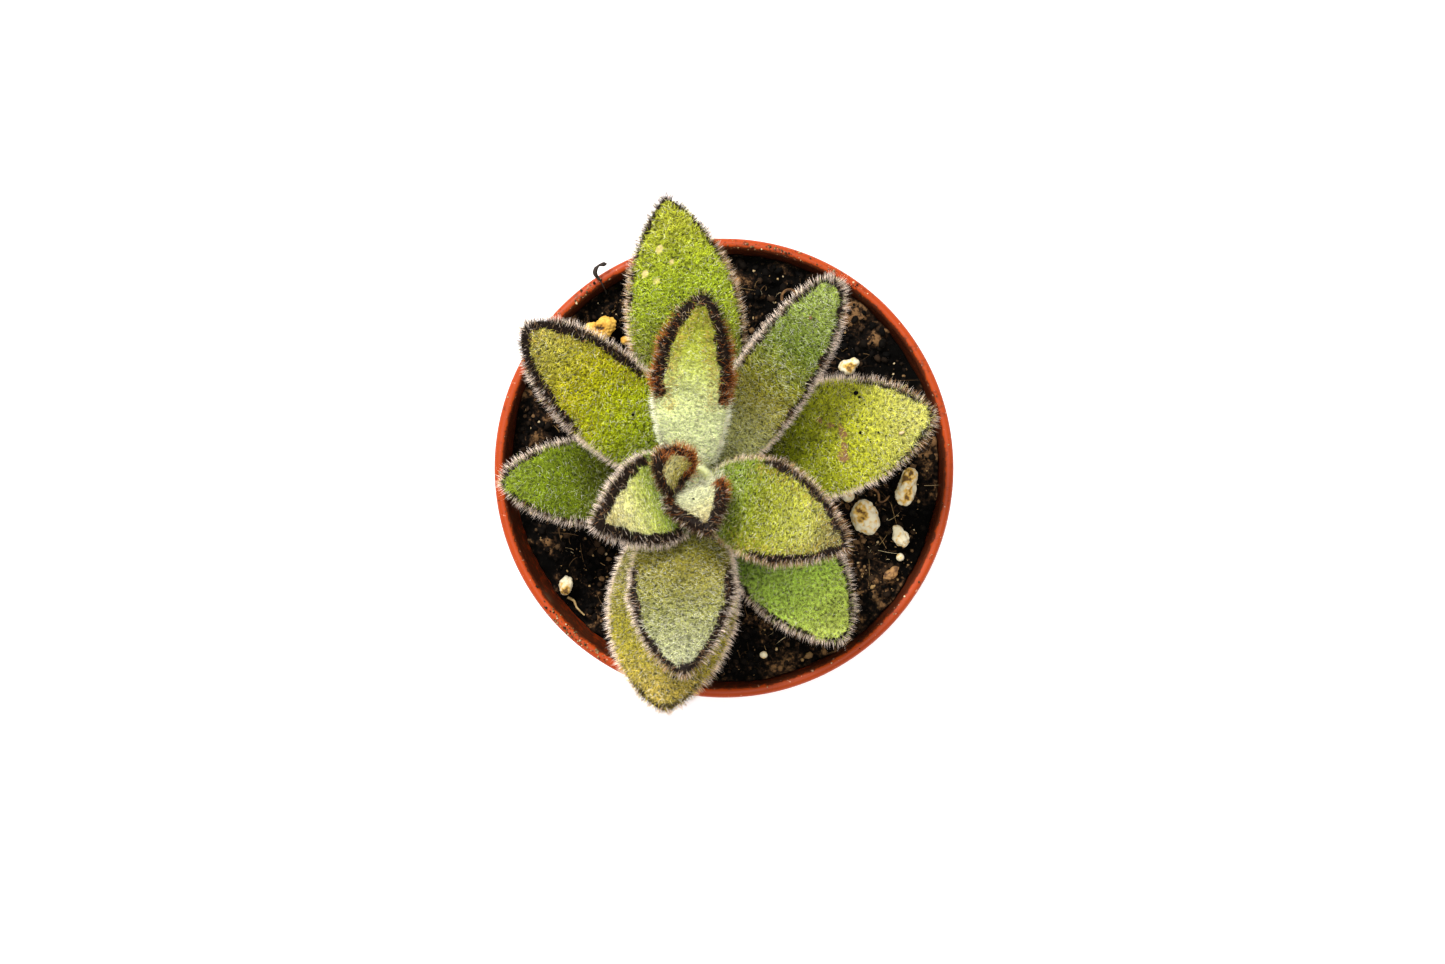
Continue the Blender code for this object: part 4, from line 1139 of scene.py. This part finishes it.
def crumbs(name, middles, sizes, tones, material):
    """Twenty-faced stones: each corner is pushed in or out by up to a third, then the
    stone is stretched along three random axes and moved to its place."""
    count = len(middles)
    shape = ICO_POINTS[None] * STREWN.uniform(0.68, 1.25, (count, 12, 1))
    shape = shape * STREWN.uniform(0.6, 1.25, (count, 1, 3))
    turns = np.linalg.qr(STREWN.normal(size=(count, 3, 3)))[0]
    turns[:, :, 0] *= np.linalg.det(turns)[:, None]
    shape = np.einsum("nij,nkj->nki", turns, shape)
    points = middles[:, None] + shape * sizes[:, None, None] / 2
    loops = (np.arange(count)[:, None] * 12 + ICO_FACES.ravel()).ravel()
    piece = mesh_from_arrays(name, points.reshape(-1, 3), loops,
                             np.full(count * 20, 3), material, smooth=False)
    u = np.broadcast_to(0.5 + 0.45 * ICO_POINTS[ICO_FACES.ravel(), 2], (count, 60))
    v = np.clip(ROW_START + ROW_SPAN * tones[:, None] + np.tile(NUDGE, 20), 0, 1)
    set_map(piece, np.stack([u, v], -1))
    finish_piece(piece, [])


# %% Crumbs on the soil
# Broken peat and bark fines are full of air, so they look matt. Their tones: wet black peat,
# dark brown, dry brown, bark tan and mineral cream.
crumb_peat = palette_material("peat crumbs and bark fines", [
    (0.0, "#040302"), (0.3, "#120c07"), (0.52, "#36271a"), (0.72, "#75593b"),
    (0.86, "#ab8a5a"), (1.0, "#e2cda4")], 0.8, 1.15,
    Roughness=0.9, IOR=1.4, Specular_IOR_Level=0.15)

away = np.sqrt(STREWN.random(CRUMBS)) * (edge - 0.5 * MM)
turn = STREWN.uniform(0, 2 * math.pi, CRUMBS)
x, y = away * np.cos(turn), away * np.sin(turn)
sizes = MM * (0.22 + 1.0 * STREWN.random(CRUMBS) ** 4.0)
slumped = SOIL_TOP - soil_base(x, y)
x, y = [value * (1 - 0.018 * slumped / MM * (away / edge) ** 6) for value in (x, y)]
patchy = lattice_noise(np.stack([x, y, 0 * x], -1), 4.5 * MM, 21)
tones = np.clip(STREWN.normal(0.28, 0.22, CRUMBS) + 0.28 * patchy, 0, 0.86)
pale = STREWN.random(CRUMBS) < 0.07
tones = np.where(pale, STREWN.uniform(0.72, 1.0, CRUMBS), tones)
sizes = np.where(pale, np.minimum(sizes, 0.42 * MM), sizes)
middles = np.stack([x, y, soil_top(x, y) + 0.12 * sizes], -1)
crumbs("soil_crumbs", middles, sizes, tones, crumb_peat)

# %% Crumbs on the lip
# each spill: (compass angle, spread in degrees, how many)
SPILLS = ((78, 7, 70), (58, 5, 60), (130, 6, 60), (225, 4, 70), (232, 5, 60), (5, 2, 6),
          (-25, 3, 8), (100, 40, 30), (-60, 60, 24), (190, 12, 14))
turn = np.concatenate([STREWN.normal(angle, spread, many)
                       for angle, spread, many in SPILLS])
turn = np.radians(turn)
away = STREWN.uniform(26.25, 27.3, len(turn)) * MM
lift = np.sqrt(np.maximum(BEAD ** 2 - (away - RIM_RADIUS + BEAD) ** 2, 0))
sizes = MM * (0.08 + 0.28 * STREWN.random(len(turn)) ** 2.5)
middles = np.stack([away * np.cos(turn), away * np.sin(turn),
                    RIM_Z - BEAD + lift + 0.3 * sizes], -1)
tones = np.clip(STREWN.normal(0.66, 0.18, len(turn)), 0, 1)
crumbs("lip_crumbs", middles, sizes, tones, crumb_peat)

# %% Specks on the leaves
# leaf: (station, share of the half width, size in mm, crumb tone) of each speck
SPECKS = {
    "leaf_right_outer": ((0.707, -0.75, 0.50, 0.02), (0.73, -0.50, 0.34, 0.0),
                         (0.715, -0.66, 0.36, 0.05), (0.764, 0.15, 0.34, 0.1),
                         (0.685, 0.05, 0.38, 0.05), (0.864, 0.35, 0.70, 0.97),
                         (0.72, 0.28, 0.26, 0.1)),
    "leaf_back_left": ((0.382, 0.15, 0.42, 0.0), (0.62, -0.3, 0.25, 0.1)),
    "leaf_back_right": ((0.831, -0.1, 0.5, 0.75),),
    "leaf_back_outer": ((0.80, 0.35, 0.28, 0.1),),
    "leaf_right_inner": ((0.30, -0.2, 0.3, 0.1),),
    "leaf_bud_front": ((0.35, 0.1, 0.3, 0.0),),
    "leaf_front_outer": ((0.86, -0.2, 0.3, 0.1),),
}
SPECK_LIFT = 0.30 * MM           # a speck hangs in the felt, over the skin
spots = []
for leaf, specks in SPECKS.items():
    for station, side, size, tone in specks:
        turn = math.acos(math.copysign(abs(side) ** (SECTION_POWER / 2), side))
        place = leaf_surface(leaf, np.array([station]), np.array([turn]))[0][0]
        spots.append([*(place + [0.0, 0.0, SPECK_LIFT]), size, tone])
spots = np.array(spots)
crumbs("leaf_specks", spots[:, :3], MM * spots[:, 3], spots[:, 4], crumb_peat)

# %% Root fibres in the soil
away = np.sqrt(STREWN.random(FIBRES)) * (edge - 2.6 * MM)
turn = STREWN.uniform(0, 2 * math.pi, FIBRES)
x, y = away * np.cos(turn), away * np.sin(turn)
roots = np.stack([x, y, soil_top(x, y) + 0.1 * MM], -1)
turn = STREWN.uniform(0, 2 * math.pi, FIBRES)
ways = np.stack([np.cos(turn), np.sin(turn), STREWN.uniform(-0.02, 0.16, FIBRES)], -1)
bends = STREWN.normal(size=(FIBRES, 3)) * [0.5, 0.5, 0.1]
lengths = MM * (0.7 + 2.6 * STREWN.random(FIBRES) ** 2.5)
tones = 0.40 + 0.6 * STREWN.random(FIBRES) ** 1.3
fibres = spikes(roots, ways, bends, lengths, MM * STREWN.uniform(0.05, 0.13, FIBRES), 4, tones,
                "soil_fibres", crumb_peat)
finish_piece(fibres, [])

# %% [markdown]
# ## Grains on the soil
#
# Perlite is volcanic glass popped by heat, like popcorn: a cream-white, pitted crust, stained
# yellow by water. A few bits of bark and a seed husk lie with it. Each grain is a round grid
# pushed in and out by noise, plus lobes where the real one has them, and its depth is stored
# so that the material can paint shade into the pits.

# %% Grain shapes
GRAIN_RINGS, GRAIN_AROUND = 56, 88


def grain_mesh(name, half, turn_degrees, seed, lobes, stain, material, slot, rough=1.0):
    """Ball grid; its radius is 1 + lumps + bumps + pits, plus a bell curve for each lobe.

    The grain is turned by its angle and stretched to fill its node's box.
    """
    low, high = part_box(name)
    middle = (np.array(low) + np.array(high)) / 2
    down = np.linspace(0, math.pi, GRAIN_RINGS + 2)[1:-1, None]
    turn = np.linspace(0, -2 * math.pi, GRAIN_AROUND, endpoint=False)[None]
    ball = np.stack([np.sin(down) * np.cos(turn), np.sin(down) * np.sin(turn),
                     np.cos(down) + 0 * turn], -1)
    ball = np.concatenate([[[0, 0, 1.0]], ball.reshape(-1, 3), [[0, 0, -1.0]]])
    half = np.array(half) * MM
    skin = ball * half
    lumps = 0.16 * lattice_noise(skin + seed, 1.5 * MM, seed)
    bumps = 0.15 * (np.abs(lattice_noise(skin + seed, 0.62 * MM, seed + 1)) - 0.3)
    pits = 0.06 * lattice_noise(skin + seed, 0.26 * MM, seed + 2)
    grow = 1 + rough * (lumps + bumps + pits)
    for direction, width, size in lobes:
        way = unit(np.array(direction, float))
        grow += size * np.exp(-((1 - ball @ way) / width) ** 2)
    skin = skin * grow[:, None]
    turn = math.radians(turn_degrees)
    spin = np.array([(math.cos(turn), -math.sin(turn), 0), (math.sin(turn), math.cos(turn), 0),
                     (0, 0, 1)])
    skin = skin @ spin.T
    span = skin.max(0) - skin.min(0)
    skin = (skin - (skin.max(0) + skin.min(0)) / 2) * (np.array(high) - np.array(low)) / span
    piece = tube_mesh(name + "_shape", skin[0] + middle,
                      (skin[1:-1] + middle).reshape(GRAIN_RINGS, GRAIN_AROUND, 3),
                      skin[-1] + middle, material)
    hollow = smooth_step(0.5 - (bumps + pits) * 5)
    spot = np.zeros(len(ball))
    for direction, width in stain:
        spot = np.maximum(spot, np.exp(-((1 - ball @ unit(np.array(direction, float)))
                                         / width) ** 2))
    lay_skin_map(piece, GRAIN_RINGS, GRAIN_AROUND)
    set_attribute(piece, "hollow", hollow)
    set_attribute(piece, "stain", spot)
    finish_piece(piece, [name])


# %% Grain material
def grain_material(name, plain, stained, dark, base_stain):
    """Crust of popped glass: dull and light, darker in its pits, yellow where stained.

    The ramp's place is the noise, plus 0.34 times the stain, plus 0.22 times the hollow; the
    darkening in pits is painted shade. Dry bark takes the same crust in browns: rough and
    matt, and darker in its cracks, which is painted shade too.
    """
    made, tree, shader = new_material(name, Roughness=0.8, IOR=1.5)
    place = add_node(tree, "ShaderNodeTexCoord").outputs["Object"]
    hollow = add_node(tree, "ShaderNodeAttribute", attribute_name="hollow").outputs["Fac"]
    stain = add_node(tree, "ShaderNodeAttribute", attribute_name="stain").outputs["Fac"]
    cloud = add_node(tree, "ShaderNodeTexNoise",
                     {"Vector": place, "Scale": 1 / (0.6 * MM), "Detail": 3.0})
    level = add_node(tree, "ShaderNodeMath", {0: stain, 1: 0.34, 2: cloud.outputs["Fac"]},
                     operation="MULTIPLY_ADD")
    # painted shade: the deeper the pit, the darker the crust
    pitted = add_node(tree, "ShaderNodeMath", {0: hollow, 1: 0.22, 2: level.outputs[0]},
                      operation="MULTIPLY_ADD")
    tint = set_ramp(add_node(tree, "ShaderNodeValToRGB", {"Fac": pitted.outputs[0]}), [
        (0.60 - base_stain, plain), (0.84 - base_stain, stained), (1.12 - base_stain, dark)])
    tree.links.new(tint.outputs["Color"], shader.inputs["Base Color"])
    bump = add_node(tree, "ShaderNodeBump", {
        "Height": cloud.outputs["Fac"], "Strength": 0.5, "Distance": 0.15 * MM})
    tree.links.new(bump.outputs["Normal"], shader.inputs["Normal"])
    return made


PERLITE = grain_material("perlite, popped", "#f3e6c4", "#e2b24e", "#6a4a1c", 0.0)
YELLOW_PERLITE = grain_material("perlite, stained yellow", "#f2bd50", "#c98f2c", "#3d2812", 0.03)
BARK = grain_material("pine bark, dry", "#a57a48", "#5c3d22", "#2a1a0e", 0.05)

# %% Make the grains
# name, half sizes (mm), turn, seed, lobes (direction, width, size), stains (direction,
# width), finish, slot, roughness
GRAINS = (
    ("perlite_large", (1.7, 2.1, 1.5), 15, 31,
     [((0.6, -0.7, 0.3), 0.3, 0.12), ((-0.2, 0.3, 0.95), 0.10, -0.22)],
     [((-0.2, 0.3, 0.95), 0.14)], PERLITE, "perlite_white", 0.7),
    ("perlite_small", (0.75, 0.8, 0.7), 0, 33, [], [], PERLITE, "perlite_white", 0.5),
    ("perlite_twin", (1.45, 2.4, 1.4), -12, 35,
     [((0.2, 1, 0.2), 0.4, 0.25), ((-0.1, -1, 0.2), 0.5, 0.35), ((-1, 0.15, 0.3), 0.18, -0.28),
      ((1, 0.1, 0.3), 0.18, -0.30), ((0.3, -0.55, 0.8), 0.06, -0.40)],
     [((0.3, -0.55, 0.8), 0.09), ((-0.2, 0.6, 0.7), 0.2)], PERLITE, "perlite_white", 0.9),
    ("perlite_pointed", (1.0, 1.4, 1.0), 20, 37, [((0.1, 1, 0.2), 0.12, 0.5)], [],
     PERLITE, "perlite_white", 1.2),
    ("perlite_bead", (0.5, 0.5, 0.45), 0, 39, [], [], PERLITE, "perlite_white", 0.5),
    ("seed_husk", (1.1, 0.8, 0.6), 40, 41, [((1, 0.4, 0.2), 0.15, 0.6)], [], BARK, "bark", 1.3),
    ("perlite_back_right", (1.4, 1.1, 1.0), 10, 43,
     [((-1, 0.3, 0.3), 0.3, 0.5), ((1, 0.5, 0.3), 0.25, 0.55), ((0, -0.9, 0.3), 0.3, 0.3)],
     [((0.1, -0.1, 0.9), 0.2)], PERLITE, "bark", 1.0),
    ("perlite_yellow", (2.1, 1.6, 1.2), 25, 45,
     [((-1, -0.2, 0.2), 0.3, 0.35), ((0.9, 0.6, 0.3), 0.3, 0.2), ((0.1, 0.1, 1.0), 0.07, -0.45)],
     [((0.1, 0.1, 1.0), 0.10)], YELLOW_PERLITE, "perlite_stained", 1.6),
    ("perlite_yellow_chip", (0.6, 0.55, 0.5), 0, 47, [], [], YELLOW_PERLITE,
     "perlite_stained", 1.0),
    ("perlite_front_left", (0.85, 1.2, 0.8), -8, 49, [((0, -1, 0.3), 0.3, 0.3)],
     [((0.1, -0.6, 0.8), 0.2)], PERLITE, "perlite_white", 1.0),
    ("perlite_front", (0.5, 0.45, 0.4), 0, 51, [], [], PERLITE, "perlite_white", 0.6),
    ("bark_chip", (1.0, 0.7, 0.5), 30, 53, [((1, 0, 0), 0.2, 0.4)], [], BARK, "bark", 1.3),
)
for grain in GRAINS:
    grain_mesh(*grain)

# %% [markdown]
# ## Roots and twig
#
# Three thin root ends lie on the soil. Their CAD shapes are right at this size, less than
# half a millimetre across, so they stay and only get a finish. The dark twig that hooks over
# the lip is knobbly, so it gets a new shape: a tube of changing radius along a smooth curve.

# %% Root and twig finishes
def bark_skin(name, light, dark, nodes):
    """Dry root skin: matt, with darker rings and patches about half a millimetre long."""
    made, tree, shader = new_material(name, Roughness=0.8, IOR=1.45)
    place = add_node(tree, "ShaderNodeTexCoord").outputs["Object"]
    cloud = add_node(tree, "ShaderNodeTexNoise",
                     {"Vector": place, "Scale": 1 / (0.5 * MM), "Detail": 3.0})
    tint = set_ramp(add_node(tree, "ShaderNodeValToRGB", {"Fac": cloud.outputs["Fac"]}),
                    [(0.35, dark), (0.65, light)])
    tree.links.new(tint.outputs["Color"], shader.inputs["Base Color"])
    for node in nodes:
        part = frame["nodes"][node]
        for index in range(len(part.data.materials)):
            part.data.materials[index] = made


bark_skin("root skin, dry", "#8a6238", "#3a2412", ["root_curl", "root_snake"])
bark_skin("root skin, pale", "#c9ad78", "#8d6c3e", ["root_cream"])

# %% Hooked twig
# Points of the twig: distance from the pot's axis, distance aside, height above the lip and
# radius, all in mm.
TWIG_COMPASS = math.radians(123.0)
TWIG = np.array([(25.3, 0.5, -2.6, 0.06), (25.3, 0.4, -1.2, 0.07), (25.8, 0.3, 0.1, 0.07),
                 (26.85, 0.2, 0.6, 0.10), (27.5, 0.3, 0.9, 0.22), (28.1, 0.1, 1.2, 0.28),
                 (28.4, -0.6, 1.2, 0.15), (28.2, -1.2, 1.1, 0.26), (28.1, -1.5, 1.05, 0.12)])
TWIG_RINGS, TWIG_AROUND = 90, 20


# %% Twig mesh
def curve_through(points, count):
    """Catmull-Rom curve: between two points it is a cubic that keeps the slope
    (next - previous) / 2 at each of them."""
    padded = np.vstack([2 * points[0] - points[1], points, 2 * points[-1] - points[-2]])
    place = np.linspace(0, len(points) - 1.000001, count)
    first = place.astype(int)
    s = (place - first)[:, None]
    a, b, c, d = (padded[first + step] for step in range(4))
    return b + 0.5 * s * (c - a + s * (2 * a - 5 * b + 4 * c - d + s * (3 * (b - c) + d - a)))


path = curve_through(TWIG, TWIG_RINGS)
outwards = np.array([math.cos(TWIG_COMPASS), math.sin(TWIG_COMPASS), 0.0])
sideways = np.array([-math.sin(TWIG_COMPASS), math.cos(TWIG_COMPASS), 0.0])
upwards = np.array([0.0, 0.0, 1.0])
middle = (outwards * path[:, :1] + sideways * path[:, 1:2]
          + upwards * path[:, 2:3]) * MM + [0.0, 0.0, RIM_Z]
ahead = unit(np.gradient(middle, axis=0))
left = unit(np.cross(ahead, outwards + [0.0, 0.0, 0.4]))
over = np.cross(ahead, left)
turn = np.linspace(0, 2 * math.pi, TWIG_AROUND, endpoint=False)[None, :, None]
ring = left[:, None] * np.cos(turn) + over[:, None] * np.sin(turn)
thick = path[:, 3, None, None] * MM
knobs = 1 + 0.35 * lattice_noise(middle[:, None] + ring * thick, 0.45 * MM, 81)[..., None]
twig_grid = middle[:, None] + ring * thick * knobs
twig = tube_mesh("twig_shape", middle[0] - ahead[0] * 0.1 * MM, twig_grid,
                 middle[-1] + ahead[-1] * 0.1 * MM, grain_material(
                     "twig, dark and dry", "#2e231b", "#171009", "#080605", 0.0))
lay_skin_map(twig, TWIG_RINGS, TWIG_AROUND)
set_attribute(twig, "hollow", np.full(len(twig.data.vertices), 0.5))
set_attribute(twig, "stain", np.zeros(len(twig.data.vertices)))
finish_piece(twig, ["twig_over_rim"])
print("twig (mm):", (middle.min(0) / MM).round(1), (middle.max(0) / MM).round(1))

# %% [markdown]
# ## The stem
#
# The stem is a short green shoot under the same felt, whiter than the leaves'. It starts in
# the soil and ends between the two young leaves.

# %% Stem
STEM_RINGS, STEM_AROUND = 60, 48
STEM_SUNK = 5.0 * MM
STEM_TIP = 0.5 * MM
level = np.linspace(-STEM_SUNK, STEM_HEIGHT, STEM_RINGS)[:, None]
turn = np.linspace(0, 2 * math.pi, STEM_AROUND, endpoint=False)[None]
above_soil = np.maximum(level, 0.0)
swell = 1 + 0.05 * lattice_noise(np.stack([level + 0 * turn, np.cos(turn) * 2 * MM + 0 * level,
                                           np.sin(turn) * 2 * MM + 0 * level], -1), 2 * MM, 61)
radius = (STEM_FOOT_RADIUS + (STEM_TOP_RADIUS - STEM_FOOT_RADIUS)
          * above_soil / STEM_HEIGHT) * swell
stem_grid = np.stack([STEM_MIDDLE[0] + STEM_LEAN[0] * above_soil + radius * np.cos(turn),
                      STEM_MIDDLE[1] + STEM_LEAN[1] * above_soil + radius * np.sin(turn),
                      SOIL_TOP + level + 0 * turn], -1)
foot = (*STEM_MIDDLE, SOIL_TOP - STEM_SUNK)
tip = stem_axis(STEM_HEIGHT) + np.array([0.0, 0.0, STEM_TIP])
STEM_LOOK = dict(greens=("#b0b060", "#c4c878", "#d0d684", "#dce294"), shade=0.9)
stem = tube_mesh("stem_skin", foot, stem_grid, tip,
                 skin_material("kalanchoe stem", STEM_LOOK))
share = np.broadcast_to(above_soil / STEM_HEIGHT, stem_grid.shape[:2])
set_attribute(stem, "along", np.concatenate([[0.0], share.ravel(), [1.0]]))
lay_skin_map(stem, STEM_RINGS, STEM_AROUND)
finish_piece(stem, ["stem"])

# %% Felt on the stem
STEM_HAIRS_PER_MM2 = 52
TUFT = 620                       # hairs on the growing tip, between the two young leaves

areas, normals = cell_areas(stem_grid)
areas = areas * (share[:-1] > 0.0)
count = int(areas.sum() / MM ** 2 * STEM_HAIRS_PER_MM2)
rows, columns, down, aside = draw_cells(areas, count)
root = read_cells(stem_grid, rows, columns, down, aside)
normal = normals[rows, columns]
way = normal + 0.5 * GROWN.normal(size=(count, 3)) + [0.0, 0.0, 0.3]
bend = 0.3 * GROWN.normal(size=(count, 3))
tone = GROWN.uniform(TONE["upper"], TONE["white"], count)
stem_felt = felt_material("felt, stem", STEM_LOOK["greens"], "#e6ecbc")
turn = GROWN.uniform(0, 2 * math.pi, TUFT)
away = STEM_TOP_RADIUS * np.sqrt(GROWN.random(TUFT))[:, None]
aside = np.stack([np.cos(turn), np.sin(turn), 0 * turn], -1)
root = np.concatenate([root, stem_axis(STEM_HEIGHT) + away * aside
                       + (STEM_TIP * (1 - away / STEM_TOP_RADIUS)) * upwards])
way = np.concatenate([way, upwards + 0.6 * aside * away / STEM_TOP_RADIUS
                      + 0.55 * GROWN.normal(size=(TUFT, 3))])
bend = np.concatenate([bend, 0.4 * GROWN.normal(size=(TUFT, 3))])
tone = np.concatenate([tone, GROWN.uniform(TONE["pale"], TONE["white"], TUFT)])
count += TUFT
felt = spikes(root, way, bend, 0.7 * MM * GROWN.uniform(0.6, 1.3, count),
              HAIR_WIDTH * GROWN.uniform(0.8, 1.3, count), 1, tone, "stem_hairs", stem_felt,
              0.15)
finish_piece(felt, [])
